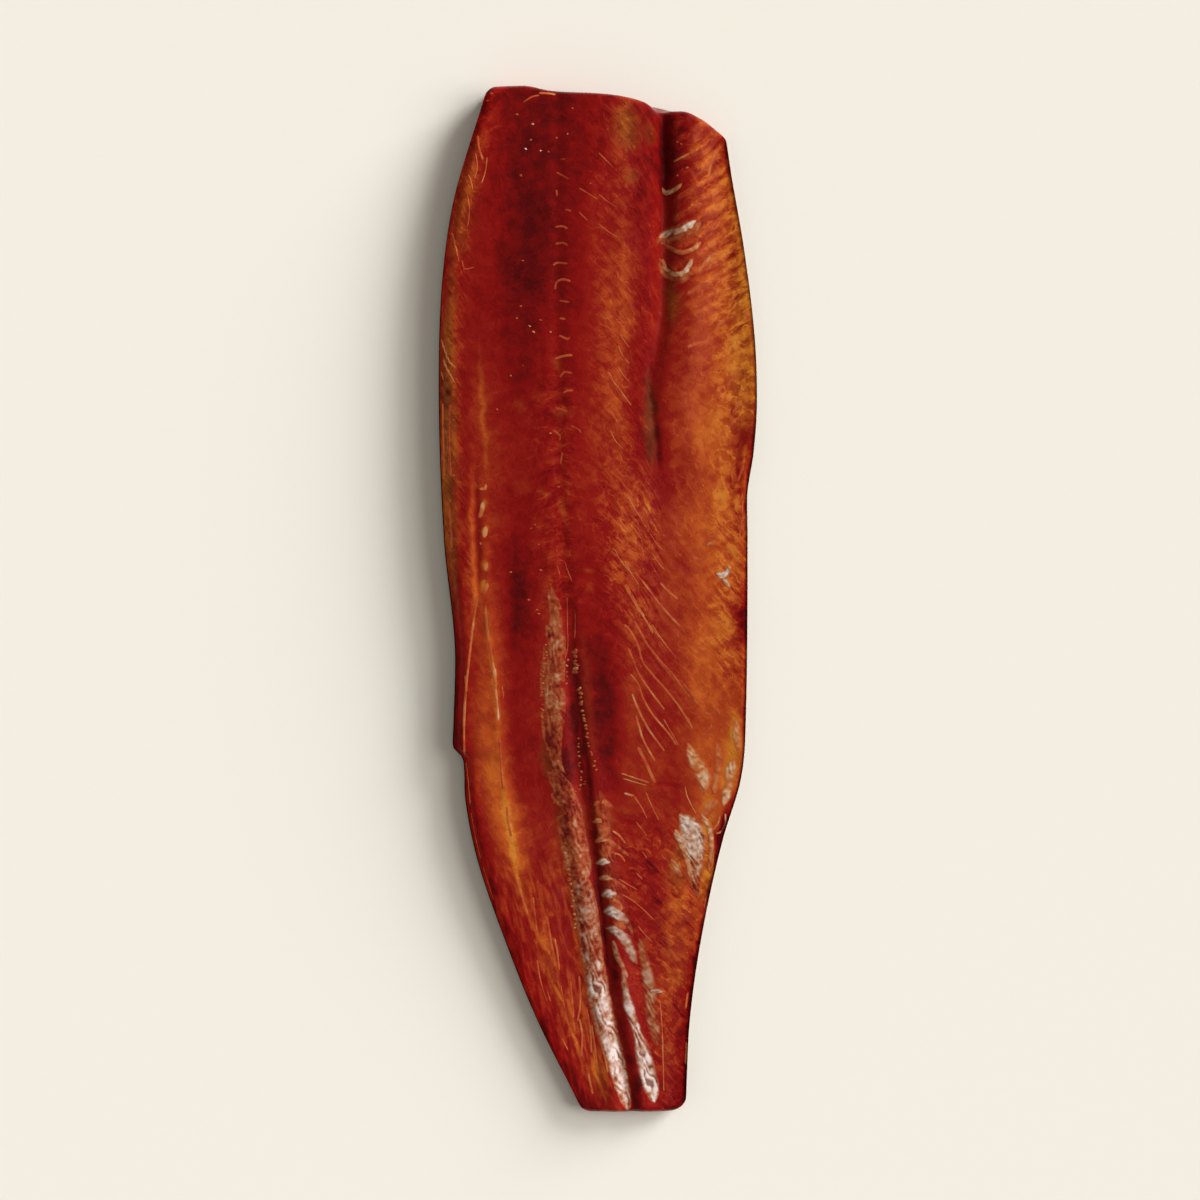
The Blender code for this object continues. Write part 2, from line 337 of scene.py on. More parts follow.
# %% Bands of tone
BACK_EDGE_TONE = (
    (-258, 0.05), (-220, 0.15), (-150, 0.25), (-85, 0.3), (-70, 0.05), (-10, 0.08),
    (10, 0.32), (60, 0.42), (110, 0.25), (150, 0.36), (200, 0.22), (258, 0.05),
)
TONE_BANDS = (
    # rim of the back, under the dried outer fat
    ((-258, -2, 0.18), (-220, -22, 0.27), (-170, -41, 0.33), (-120, -58, 0.38), (-80, -62, 0.42),
     (-40, -66, 0.4), (0, -69, 0.34), (40, -72, 0.38), (90, -74, 0.4), (150, -75, 0.42),
     (200, -68, 0.38), (225, -61, 0.45), (255, -52, 0.15)),
    # orange streak of the back
    ((-258, 5, 0.3), (-230, -7, 0.48), (-190, -22, 0.45), (-155, -37, 0.58), (-130, -43, 0.74),
     (-110, -47, 0.8), (-80, -51, 0.72), (-40, -55, 0.64), (0, -59, 0.6), (40, -60, 0.54),
     (100, -59, 0.44), (150, -56, 0.27), (220, -52, 0.24), (255, -47, 0.18)),
    # dark loin
    ((-258, 8, 0.32), (-220, -1, 0.46), (-180, -14, 0.44), (-140, -26, 0.4), (-110, -32, 0.36),
     (-80, -37, 0.26), (-40, -38, 0.24), (-15, -38, 0.13), (10, -39, 0.09), (35, -39, 0.2),
     (60, -40, 0.3), (90, -39, 0.3), (115, -38, 0.15), (150, -38, 0.05), (200, -38, 0.03),
     (255, -37, 0.1)),
    # back side of the bone line
    ((-258, 10, 0.35), (-200, -3, 0.55), (-150, -10, 0.6), (-105, -16, 0.46), (-85, -18, 0.24),
     (-60, -21, 0.48), (-30, -22, 0.55), (5, -24, 0.42), (40, -28, 0.33), (80, -28, 0.3),
     (120, -27, 0.28), (160, -26, 0.1), (255, -25, 0.08)),
    # bone line
    ((-258, 16, 0.2), (-200, 8, 0.3), (-150, 2, 0.34), (-110, -4, 0.4), (-85, -9, 0.2),
     (-50, -11, 0.14), (-10, -12, 0.24), (20, -13, 0.26), (60, -13, 0.34), (100, -14, 0.28),
     (150, -14, 0.2), (200, -14, 0.18), (255, -14, 0.12)),
    # belly side of the bone line
    ((-258, 20, 0.2), (-200, 15, 0.3), (-150, 11, 0.34), (-115, 6, 0.4), (-90, 5, 0.2),
     (-70, 3, 0.14), (-40, 3, 0.14), (0, 0, 0.25), (50, -2, 0.38), (100, 0, 0.47),
     (160, 0, 0.44), (200, 0, 0.38), (225, 0, 0.24), (255, 2, 0.2)),
    # lower loin
    ((-258, 27, 0.3), (-190, 24, 0.4), (-160, 22, 0.34), (-120, 19, 0.38), (-80, 18, 0.48),
     (-40, 16, 0.48), (0, 16, 0.54), (20, 15, 0.6), (60, 12, 0.55), (105, 9, 0.6),
     (135, 12, 0.64), (165, 12, 0.58), (205, 12, 0.42), (225, 13, 0.48), (250, 14, 0.55)),
    # outer edge of the lower loin
    ((-258, 33, 0.28), (-200, 36, 0.55), (-160, 31, 0.3), (-130, 30, 0.37), (-90, 30, 0.48),
     (-60, 30, 0.38), (-20, 28, 0.46), (25, 28, 0.52), (55, 23, 0.58), (80, 22, 0.25),
     (120, 22, 0.28), (160, 24, 0.45), (190, 25, 0.33), (220, 24, 0.24), (245, 24, 0.3)),
    # fold
    ((-258, 36, 0.24), (-200, 40, 0.5), (-150, 38, 0.45), (-100, 37, 0.4), (-50, 38, 0.45),
     (0, 38, 0.54), (35, 37, 0.5), (55, 32, 0.32), (75, 29, 0.2), (95, 28, 0.3),
     (115, 28, 0.24), (150, 33, 0.4), (195, 31, 0.36), (215, 33, 0.18), (245, 32, 0.24)),
    # inner belly flap
    ((-258, 39, 0.18), (-230, 41, 0.22), (-190, 44, 0.46), (-150, 45, 0.6), (-95, 44, 0.5),
     (-60, 45, 0.54), (-20, 45, 0.62), (20, 44, 0.5), (40, 45, 0.66), (60, 42, 0.48),
     (90, 42, 0.58), (120, 40, 0.45), (150, 42, 0.42), (175, 42, 0.46), (195, 42, 0.36),
     (215, 42, 0.26), (240, 42, 0.18)),
    # middle of the belly flap
    ((-258, 41, 0.15), (-200, 47, 0.25), (-150, 53, 0.7), (-120, 55, 0.75), (-90, 55, 0.75),
     (-60, 53, 0.7), (-30, 54, 0.8), (0, 55, 0.72), (40, 55, 0.74), (60, 53, 0.65),
     (80, 53, 0.82), (120, 53, 0.6), (150, 52, 0.7), (170, 53, 0.7), (200, 52, 0.62),
     (220, 54, 0.72), (236, 52, 0.55)),
    # outer belly flap
    ((-258, 43, 0.12), (-180, 50, 0.25), (-140, 58, 0.5), (-110, 63, 0.66), (-85, 66, 0.8),
     (-60, 67, 0.68), (-30, 66, 0.72), (10, 64, 0.84), (50, 63, 0.9), (85, 64, 0.84),
     (120, 66, 0.84), (150, 67, 0.78), (180, 66, 0.82), (210, 63, 0.86), (232, 61, 0.66)),
)
BELLY_EDGE_TONE = (
    (-240, 0.1), (-180, 0.16), (-120, 0.22), (-100, 0.55), (-70, 0.66), (-30, 0.6),
    (-10, 0.25), (5, 0.55), (30, 0.7), (60, 0.6), (85, 0.45), (105, 0.8), (140, 0.86),
    (165, 0.82), (200, 0.72), (228, 0.55),
)


def band_tone(x, y):
    """Tone from the bands: for each pair of neighbours, a smooth step from one to the next."""
    bands = [(curve_through(BACK_EDGE, y) + 1.5, curve_through(BACK_EDGE_TONE, y))]
    for band in TONE_BANDS:
        stations = np.array(band)
        bands.append((curve_through(stations[:, :2], y), curve_through(stations[:, ::2], y)))
    bands.append((curve_through(BELLY_EDGE, y) - 2, curve_through(BELLY_EDGE_TONE, y)))
    tone = bands[0][1].copy()
    place = bands[0][0]
    for (_, tone_before), (next_place, next_tone) in zip(bands, bands[1:]):
        next_place = np.maximum(next_place, place + 0.5)
        tone += (next_tone - tone_before) * ramp(x, place, next_place)
        place = next_place
    return tone


print(f"{len(TONE_BANDS) + 2} bands, {sum(map(len, TONE_BANDS))} stations")

# %% Single streaks and patches
# Change of tone, share of ochre, half width in mm, (x, y) points.
STREAKS = (
    # dried fat along the back edge
    (0.02, 0.85, 4.6, ((-72, 172), (-75.5, 140), (-76, 110), (-76, 60), (-75, 20), (-71.5, -14))),
    (0.06, 0.5, 5.0, ((-60, 238), (-66, 210), (-70, 185), (-73, 165))),
    (-0.1, 0.0, 3.0, ((-66, 150), (-66.5, 100), (-67, 50), (-68.5, 10), (-69, -10))),
    (0.2, 0.25, 1.6, ((-60, 133), (-59.5, 115), (-58, 95), (-57, 75), (-56, 60))),
    (0.22, 0.1, 1.3, ((-64, 68), (-64, 45), (-63.5, 20), (-62, 2), (-63, -12), (-65, -30))),
    (-0.2, 0.0, 1.6, ((-60.5, 66), (-60.5, 40), (-60, 15), (-59, 3))),
    (0.26, 0.5, 1.6, ((-57.5, 52), (-58.5, 44))),
    (0.26, 0.6, 1.6, ((-57, 37), (-57.5, 32))),
    (0.26, 0.5, 1.6, ((-57, 20), (-56.5, 14))),
    (0.26, 0.5, 1.6, ((-56.5, 10), (-58, 3))),
    (-0.3, 0.0, 2.0, ((-77, 107), (-74, 105.5))),
    (-0.25, 0.0, 2.2, ((-75, -30), (-74, -55), (-76, -68))),
    # the two orange lines of the back, tailwards
    (0.2, 0.1, 1.5, ((-56.5, -3), (-55, -20), (-53, -34), (-51, -58), (-49.5, -80))),
    (0.2, 0.35, 2.0, ((-49.5, -82), (-48, -98), (-45.5, -112), (-43, -126), (-40, -142), (-36, -158))),
    (0.12, 0.1, 5.0, ((-60, -45), (-58, -75), (-55, -100), (-50, -122))),
    (-0.2, 0.0, 2.5, ((-66, -88), (-62, -108), (-57, -128), (-51, -150))),
    (0.14, 0.2, 3.0, ((-30, -165), (-24, -185), (-18, -205), (-10, -228))),
    (0.22, 0.35, 5.0, ((-2, -228), (1, -243), (4, -256))),
    (0.16, 0.2, 1.2, ((-13, -198), (-12, -220), (-7, -240))),
    (0.16, 0.2, 1.2, ((-9, -192), (-6, -215), (-1, -238))),
    # brown patches
    (0.05, 0.6, 7.0, ((13, 252), (15, 238), (17, 226))),
    (0.0, 0.5, 3.0, ((26, 243), (26, 230))),
    (0.14, 0.7, 4.0, ((70, -55), (69.5, -80), (65, -103))),
    (0.02, 0.75, 3.0, ((25, 118), (26, 100), (26.5, 80), (27, 66))),
    (0.06, 0.55, 3.6, ((-26, -66), (-25, -85), (-22, -95))),
    (0.08, 0.55, 6.0, ((-18, -98), (-14, -112), (-13, -128))),
    (0.1, 0.5, 4.0, ((0, -100), (4, -112), (6, -122))),
    (0.1, 0.5, 4.0, ((55, -97), (57, -105), (53, -122))),
    (0.06, 0.55, 4.0, ((41, -122), (40, -138), (42, -148))),
    (0.06, 0.6, 3.0, ((57, -122), (56, -140), (54, -154))),
    (0.08, 0.1, 7.0, ((36, -146), (38, -170), (38, -196))),
    (0.06, 0.4, 4.0, ((20, 217), (14, 212))),
    (0.02, 0.5, 3.5, ((36, 162), (38, 150), (39, 138))),
    # dark furrows and pits; those along the belly fold, the groove of the bone line and the crease at the
    # waist darken creases that the relief also cuts, as painted shade
    (-0.16, 0.0, 3.6, ((37, 247), (33, 232), (34, 216), (31, 200))),
    (-0.35, 0.0, 2.6, ((66, -106), (64.5, -118), (61.5, -132), (58.5, -148))),
    (0.14, 0.3, 2.2, ((-8, -14), (-6, -40), (-3.5, -66), (-1, -90))),
    (-0.22, 0.0, 5.0, ((-22, 0), (-23, -40), (-21, -75), (-17, -97), (-12, -120), (-8, -145),
                       (-4, -170), (1, -200))),
    (-0.12, 0.0, 6.0, ((21, 216), (22, 190), (24, 160), (25, 125))),
    (-0.08, 0.0, 2.0, ((31.5, 200), (32, 180), (34, 160), (33, 145), (30, 128))),
    (-0.22, 0.0, 1.8, ((27.5, 122), (26.5, 108), (29, 92), (30.5, 78), (31, 64))),
    (-0.1, 0.0, 5.0, ((-42, 22), (-41, 0), (-43, -24))),
    (-0.1, 0.0, 4.0, ((-17, -72), (-15, -84), (-13, -94))),
    (-0.15, 0.2, 5.0, ((2, -105), (5, -130), (10, -150), (15, -170))),
    (-0.11, 0.0, 8.0, ((2, -22), (3, -50), (5, -86))),
    (-0.25, 0.0, 1.5, ((-8, -66), (-5, -90), (-2, -112), (0, -130), (2.5, -160), (4, -185), (7, -206))),
    (-0.2, 0.0, 1.8, ((-15.5, -10), (-14, -30), (-13, -50), (-11, -66), (-8, -82))),
    (-0.3, 0.0, 3.0, ((21, -240), (20, -250))),
    (-0.22, 0.0, 3.0, ((8, -172), (9, -188), (8, -204))),
    (-0.3, 0.0, 2.6, ((73.5, -2), (73.5, -22))),
    (-0.3, 0.0, 2.2, ((75, -50), (74.5, -66))),
    (-0.3, 0.0, 3.0, ((64, -106), (62, -122), (58, -150))),
    (-0.14, 0.0, 1.2, ((29, -94), (44, -95.5))),
    # light strokes across the loin
    (0.2, 0.2, 1.2, ((-8, 15.5), (0, 14.5))),
    (0.16, 0.1, 1.3, ((-8, 4), (-4, 6.5), (-1, 4.5))),
    (0.2, 0.3, 1.2, ((-31, 56), (-27, 53), (-22, 52))),
    (0.16, 0.3, 1.4, ((-19, 51), (-17, 42))),
    (0.12, 0.1, 3.0, ((-34, 104), (-27, 103))),
    (0.14, 0.2, 2.4, ((-43, 98), (-36, 97))),
    (0.14, 0.3, 2.0, ((-21, 124), (-20, 116))),
    (0.12, 0.2, 3.0, ((-24, 96), (-12, 93))),
    (0.12, 0.1, 4.0, ((-42, 60), (-34, 56))),
    (0.1, 0.0, 4.0, ((-12, 48), (-6, 40))),
    (0.2, 0.3, 1.6, ((24, 50), (27, 43))),
    (0.2, 0.2, 1.4, ((55, -4.5), (61, -4))),
    (0.14, 0.2, 4.0, ((62, 58), (63, 50))),
    (0.12, 0.1, 6.0, ((56, -8), (66, -14), (58, -24))),
    (0.12, 0.2, 4.0, ((36, -190), (42, -196))),
    (0.1, 0.2, 3.0, ((36, -156), (44, -150))),
)


def streaks(x, y):
    """Sum of the single streaks: change of tone and share of ochre."""
    tone, ochre = np.zeros(x.shape), np.zeros(x.shape)
    ragged_x = x + 0.9 * wander(x, y, 5, 31) + 0.5 * wander(x, y, 2.2, 32)
    ragged_y = y + 1.5 * wander(x, y, 6, 33)
    for change, yellow, width, points in STREAKS:
        cover = stroke(ragged_x, ragged_y, points, width)
        tone += change * cover
        ochre = np.maximum(ochre, yellow * cover)
    return tone, ochre


print(f"{len(STREAKS)} streaks")

# %% Tone at every point


def flesh_tone(x, y):
    """Tone from 0 to 1, and the share of ochre.

    The bands with ragged borders, the single streaks, and the beat of the muscle blocks, which is strong
    on the flap. The belly edge is a little darker, with a notch at every sheet near the head, and its
    outer 3 mm are painted darker still, as painted shade against the light the low lamps throw on the rim.
    """
    ragged_x = x + 2.2 * wander(x, y, 9, 11) + 1.2 * wander(x, y, 4, 12)
    ragged_y = y + 4.0 * wander(x, y, 12, 13)
    tone = band_tone(ragged_x, ragged_y)
    change, ochre = streaks(x, y)
    beat = np.cos(2 * np.pi * block_number(x, y))
    flap = ramp(x, 34, 42) * ramp(y, 130, 170) * (1 - ramp(x, 55, 68))
    tone += change + (0.01 + 0.09 * flap) * beat
    edge = ramp(x, 62, 76) * ramp(y, 60, 120)
    ochre = np.maximum(ochre, 0.5 * edge)
    from_belly = -off(BELLY_EDGE, x, y)
    notch = ramp(-beat, 0.2, 0.9) * hump(from_belly - 6 - 2.5 * wander(x, y, 7, 14), 3.2)
    tone -= 0.24 * notch * ramp(y, 20, 50) * (1 - ramp(y, 235, 250)) + 0.05 * edge
    # painted shade: the outermost 3 mm of the belly are darkened against the light the low lamps throw on
    # the rim
    tone -= 0.2 * (1 - ramp(from_belly, 0, 3))
    return tone, ochre


def painted_light_balance(x, y):
    """How much lighter or darker the flesh is painted than its tone says: painted light.

    The back, which faces away from the lamps, is painted paler by up to three quarters, as painted light
    against the shade it lies in. The belly side of the loin towards the tail is painted a little darker,
    and the rim of the belly is painted down to a quarter of its brightness, as painted shade against the
    light the low lamps throw on them.
    """
    from_back = off(BACK_EDGE, x, y)
    from_belly = -off(BELLY_EDGE, x, y)
    pale = 1.0 + 0.36 * (1 - ramp(from_back, 0, 62)) + 0.4 * (1 - ramp(from_back, 0, 14))
    pale = pale - 0.13 * ramp(x, -15, 25) * ramp(y, -150, -60)
    return pale * (1 - 0.75 * (1 - ramp(from_belly, 0.5, 2.6)))


middle_tone, _ = flesh_tone(np.array([-38.0, 60.0]), np.array([150.0, 100.0]))
print(f"tone of the dark loin {middle_tone[0]:.2f}, of the belly flap {middle_tone[1]:.2f}")

# %% [markdown]
# ## Relief of the flesh
#
# The blocks stand a little proud of the sheets between them, most of all on the belly
# flap, where the flesh has slumped into folds. Finer unevenness comes from drying. Relief
# of this size belongs in the mesh: bumps in a material wouldn't cast the small shadows in
# the folds, and a printed or simulated copy would lose them.

# %% Relief of the flesh
# Furrows and swellings: height and half width in mm, (x, y) points.
FURROWS = (
    (-1.2, 2.2, ((34, 248), (33, 232), (34, 214), (32, 200))),
    (-0.5, 1.6, ((28, 122), (26.5, 105), (29.5, 85), (31, 66))),
    (-0.5, 1.4, ((-12, 5), (-13, -20), (-12, -40), (-8, -66), (-4, -95), (-1, -125))),
    (-0.5, 1.5, ((-1, -125), (2, -160), (4, -185), (9, -222), (15, -256))),
    (-0.35, 0.8, ((29, -94), (36, -94), (44, -95.5))),
    (0.4, 2.4, ((37, 208), (42, 211), (50, 216))),
    (0.7, 2.6, ((34, 186), (40, 188), (50, 192))),
    (0.5, 2.2, ((37, 176), (46, 177), (54, 182))),
    (0.6, 1.6, ((35, 171), (40, 165.5), (46, 168), (49, 173))),
    (-0.6, 2.2, ((36, 181), (46, 184), (55, 188))),
    (-0.6, 2.0, ((38, 171), (44, 172))),
    (0.25, 2.2, ((12, -88), (20, -90.5), (28, -93))),
    (-0.4, 1.5, ((-62, 66), (-61.5, 30), (-60, 0))),
    (0.4, 3.0, ((-57, 60), (-57, 30), (-56, 0), (-52, -40), (-49, -80), (-44, -120))),
)


def relief(x, y):
    """Height of the muscle blocks, the slumped folds of the flap and the drying unevenness."""
    number = block_number(x, y)
    flap = ramp(x, 34, 40) * ramp(y, 130, 170) * (1 - ramp(x, 50, 66))
    fan = ramp(x, 12, 20) * ramp(y, -80, -50) * (1 - ramp(y, 20, 60)) * (1 - ramp(x, 40, 52))
    height = (0.015 + 0.4 * flap + 0.05 * fan) * np.cos(2 * np.pi * number)
    height += 0.14 * wander(x, y, 9, 21) + 0.07 * wander(x, y, 4.0, 22)
    for depth, width, points in FURROWS:
        height += depth * stroke(x, y, points, width)
    return height


print(f"{len(FURROWS)} furrows and swellings, up to {max(abs(row[0]) for row in FURROWS)} mm")

# %% [markdown]
# ## The flesh piece
#
# One closed body: the flesh side on a fine grid, the underside on a coarse one because
# the skin hides it, and the two cut faces. Rows and columns crowd towards the rounded
# edges. The grids share their border points, so the body has no seams. Subdividing the CAD
# mesh would be shorter, but its cells are too long and too few to carry the relief.

# %% Surfaces of the side
SKIN = 0.8                                # mm, thickness of the skin


def along_shares(cells, cells_cut):
    """Row places from tail to head as a column, crowded where the cuts are rounded."""
    return grid_shares(LENGTH, CUT_ROUND, CUT_ROUND, cells, cells_cut, cells_cut)[:, None]


def across_shares(along, cells, cells_round):
    """Column places from back to belly in every row, crowded at both rounded edges."""
    width = width_at(along)
    crown = curve_through(CROWN, long_edge(BACK_EDGE, along)[1])
    return grid_shares(width, BACK_ROUND * crown, BELLY_ROUND * crown, cells, cells_round, cells_round)


def inset_place(along, across, inset):
    """Plan position and share across when the long edges are moved inwards.

    The share of the way across is measured on what is left of the width.
    """
    width = width_at(along)
    share = (inset + across * (width - 2 * inset)) / width
    return (*outline_patch(along, share), share)


def rounding(along, across):
    """How far the surface has risen from its long edges: the product of two quarter ellipses."""
    width = width_at(along)
    crown = curve_through(CROWN, long_edge(BACK_EDGE, along)[1])
    back = edge_rise(across * width, BACK_ROUND * crown)
    return back * edge_rise((1 - across) * width, BELLY_ROUND * crown)


def flesh_surface(along, across):
    """Flesh side: the height over the plan with the relief on it, rounded off at every edge."""
    x, y, share = inset_place(along, across, SKIN)
    height = thickness(x, y, share)
    rise = rounding(along, across)
    widest = WIDEST * height
    from_cut = np.minimum(along, 1 - along) * LENGTH
    cut_drop = CUT_ROUND * (1 - edge_rise(from_cut, CUT_ROUND))
    z = widest + (height - widest - cut_drop + relief(x, y)) * rise
    return np.stack(np.broadcast_arrays(x, y, z), -1)


def under_surface(along, across, inset):
    """Underside: flat in the middle, curling up to the widest line, 'inset' inside the skin."""
    x, y, share = inset_place(along, across, inset)
    widest = WIDEST * thickness(x, y, share)
    z = inset + (widest - inset) * (1 - rounding(along, across))
    return np.stack(np.broadcast_arrays(x, y, z), -1)


middle = flesh_surface(np.array([[0.5]]), np.array([[0.4]]))[0, 0]
print(f"a point of the flesh side, in mm: {middle.round(1)}")

# %% From grids to a mesh


def grid_cells(grid):
    """The four corners of every cell of a grid of point numbers or UV places."""
    corners = (grid[:-1, :-1], grid[:-1, 1:], grid[1:, 1:], grid[1:, :-1])
    return np.stack(corners, 2).reshape(-1, 4, *grid.shape[2:])


def uv_grid(rows, columns, box):
    """UV places of a grid spread over a box (u0, v0, u1, v1) of the image."""
    u = np.linspace(box[0], box[2], columns)
    v = np.linspace(box[1], box[3], rows)
    return np.stack(np.meshgrid(u, v), -1)


def make_mesh(name, points, cells, uv):
    """Mesh object from points in mm, cells of four corners and their UVs.

    A cell whose neighbouring corners are one point becomes a triangle, and a cell that has
    only two corners left is dropped.
    """
    kept = cells != np.roll(cells, 1, axis=1)
    whole = kept.sum(1) > 2
    cells, uv, kept = cells[whole], uv[whole], kept[whole]
    size = kept.sum(1)
    mesh = bpy.data.meshes.new(name)
    mesh.vertices.add(len(points))
    mesh.vertices.foreach_set("co", (points * MM).astype(np.float32).ravel())
    mesh.loops.add(int(size.sum()))
    mesh.loops.foreach_set("vertex_index", cells[kept].astype(np.int32))
    mesh.polygons.add(len(cells))
    mesh.polygons.foreach_set("loop_start", (np.cumsum(size) - size).astype(np.int32))
    mesh.uv_layers.new(name="OFBake").uv.foreach_set("vector", uv[kept].astype(np.float32).ravel())
    mesh.update(calc_edges=True)
    mesh.shade_smooth()
    made = bpy.data.objects.new(name, mesh)
    bpy.context.scene.collection.objects.link(made)
    triangles = int((size - 2).sum())
    print(f"{name}: {len(points)} points, {triangles} triangles, changed by validate: {mesh.validate()}")
    return made


def paint(piece, name, values):
    """Stores one number for every point of a piece."""
    layer = piece.data.attributes.new(name, "FLOAT", "POINT")
    layer.data.foreach_set("value", values.astype(np.float32).ravel())


print("cells of a grid of 3 by 4 points:", len(grid_cells(np.arange(12).reshape(3, 4))))

# %% The flesh piece
ROWS, COLUMNS, UNDER_COLUMNS, FACE_ROWS = 480, 150, 6, 10
ROUND_COLUMNS, CUT_ROWS = 10, 6
GAP = 0.05                                # mm between the flesh and the skin below it
along = along_shares(ROWS, CUT_ROWS)
across = across_shares(along, COLUMNS, ROUND_COLUMNS)
top = flesh_surface(along, across)
rows, columns = top.shape[:2]
picked = np.round(np.concatenate((
    np.linspace(0, ROUND_COLUMNS, 5)[:-1],
    np.linspace(ROUND_COLUMNS, columns - 1 - ROUND_COLUMNS, UNDER_COLUMNS),
    np.linspace(columns - 1 - ROUND_COLUMNS, columns - 1, 5)[1:],
))).astype(int)
under = under_surface(along, across[:, picked], SKIN + GAP)

top_ids = np.arange(rows * columns).reshape(rows, columns)
under_ids = np.empty(under.shape[:2], int)
under_ids[:, [0, -1]] = top_ids[:, [0, -1]]
under_ids[:, 1:-1] = top_ids.size + np.arange(rows * (len(picked) - 2)).reshape(rows, -1)
face_size = (FACE_ROWS - 1) * (columns - 2)
first_face = top_ids.size + rows * (len(picked) - 2)


def cut_face(row, first_id, uv_box):
    """One cut face: ruled from the flesh side down, then fanned onto the coarse underside."""
    floor = np.stack([np.interp(np.arange(columns), picked, under[row, :, k]) for k in range(3)], -1)
    depth = (np.arange(1, FACE_ROWS) / FACE_ROWS)[:, None, None]
    inner = top[row] + depth * (floor - top[row])
    owner = np.abs(np.arange(columns)[:, None] - picked).argmin(1)
    ids = np.empty((FACE_ROWS + 1, columns), int)
    ids[:, 0], ids[:, -1] = top_ids[row, 0], top_ids[row, -1]
    ids[0] = top_ids[row]
    ids[1:-1, 1:-1] = first_id + np.arange(face_size).reshape(FACE_ROWS - 1, -1)
    ids[-1] = under_ids[row, owner]
    return inner[:, 1:-1].reshape(-1, 3), grid_cells(ids), grid_cells(uv_grid(*ids.shape, uv_box))


tail_points, tail_cells, tail_uv = cut_face(0, first_face, (0.80, 0.005, 0.995, 0.12))
head_points, head_cells, head_uv = cut_face(-1, first_face + face_size, (0.80, 0.14, 0.995, 0.26))
top_uv = uv_grid(rows, columns, (0.005, 0.005, 0.78, 0.995))
under_uv = uv_grid(rows, len(picked), (0.80, 0.28, 0.995, 0.995))
flesh_points = np.concatenate((
    top.reshape(-1, 3), under[:, 1:-1].reshape(-1, 3), tail_points, head_points,
))
flesh = make_mesh(
    "flesh",
    flesh_points,
    np.concatenate((grid_cells(top_ids), grid_cells(under_ids)[:, ::-1], tail_cells[:, ::-1], head_cells)),
    np.concatenate((grid_cells(top_uv), grid_cells(under_uv)[:, ::-1], tail_uv[:, ::-1], head_uv)),
)

# %% What the flesh material reads
RING = 5.5                                # mm from ring to ring on the cuts


def cut_tone(x, z):
    """Tone of the cut faces: the blocks show as flat rings round the middle of loin and belly."""
    loin = np.hypot(x + 38, 1.7 * (z - 9))
    belly = np.hypot((x - 22) * 0.8, 2.0 * (z - 5))
    ring = np.minimum(loin, belly) + 1.2 * wander(x, 3 * z, 6, 41)
    return 0.34 + 0.14 * np.cos(ring * 2 * np.pi / RING) + 0.05 * wander(x, z, 2, 42)


def broken(x, y):
    """How far the muscle is torn into flecks and dashes: little on the loin, most on the belly."""
    off_bone = off(BONE_LINE, x, y)
    fold = off(BELLY_FOLD, x, y)
    from_back = off(BACK_EDGE, x, y)
    lower_loin = ramp(off_bone, 10, 24) * (1 - ramp(fold, -5, 3)) * ramp(y, -70, 10)
    lower_loin *= 1 - 0.4 * ramp(y, 40, 80)
    bone = 0.8 * hump(off_bone + 2, 13) * ramp(y, -20, 10) * (1 - ramp(y, 100, 130))
    edge = ramp(x, 52, 64) * ramp(y, -70, -20)
    flap = (0.35 + 0.45 * ramp(y, 140, 180)) * ramp(fold, 2, 8) * ramp(y, -90, -50)
    back = 0.7 * (1 - ramp(from_back, 10, 17)) * ramp(y, -30, 20)
    tail = ramp(-y, 90, 130) * ramp(off_bone, 8, 18)
    return np.max([lower_loin, bone, edge, flap, back, 0.9 * tail, 0.15 + 0 * x], axis=0)


def paint_flesh(piece, x, y, on_cut=None, z=None):
    """Everything the flesh material reads at each point of a piece that is made of flesh.

    The gloss fades out over the rounded edges and in the belly fold, where a flat grazing
    shine would turn the dark red to violet.
    """
    tone, ochre = flesh_tone(x, y)
    if on_cut is not None:
        tone[on_cut] = cut_tone(x[on_cut], z[on_cut])
        ochre[on_cut] = 0
    paint(piece, "tone", tone)
    paint(piece, "ochre", ochre)
    paint(piece, "across_sheets", block_number(x, y) * BLOCK)
    paint(piece, "broken", broken(x, y))
    # painted light: the colour is scaled up on the back and down towards the belly and at its rim, against
    # the light of the lamps
    paint(piece, "painted_light_balance", painted_light_balance(x, y))
    from_edge = np.minimum(off(BACK_EDGE, x, y), -off(BELLY_EDGE, x, y))
    into_fold = hump(off(BELLY_FOLD, x, y) + 7, 7) * ramp(y, 40, 90)
    paint(piece, "gloss", 0.25 * ramp(from_edge, 2, 9) * (1 - 0.85 * into_fold))
    paint(piece, "lengthwise", ramp(-y, 110, 150) * (1 - ramp(off(BONE_LINE, x, y), 0, 8)))


cut_points = len(tail_points) + len(head_points)
on_cut = np.arange(len(flesh_points)) >= len(flesh_points) - cut_points
paint_flesh(flesh, *flesh_points[:, :2].T, on_cut, flesh_points[:, 2])
print(f"{cut_points} of the {len(flesh_points)} points of the flesh lie inside the cuts")

# %% [markdown]
# ## The skin
#
# The skin stays on a smoked side: it holds the soft flesh together until it is carved. It
# is under a millimetre thick, and from above only its cut edge shows, as a thin dark line
# all round. A second colour on the underside would be simpler, but a shell gives that edge
# its real thickness. It has an outer and an inner side and is closed along its rim.
#
# The scales lie in slanting rows that follow the skin round the belly, so every point of
# the shell carries its distance from the lateral line, measured on the surface like a tape.

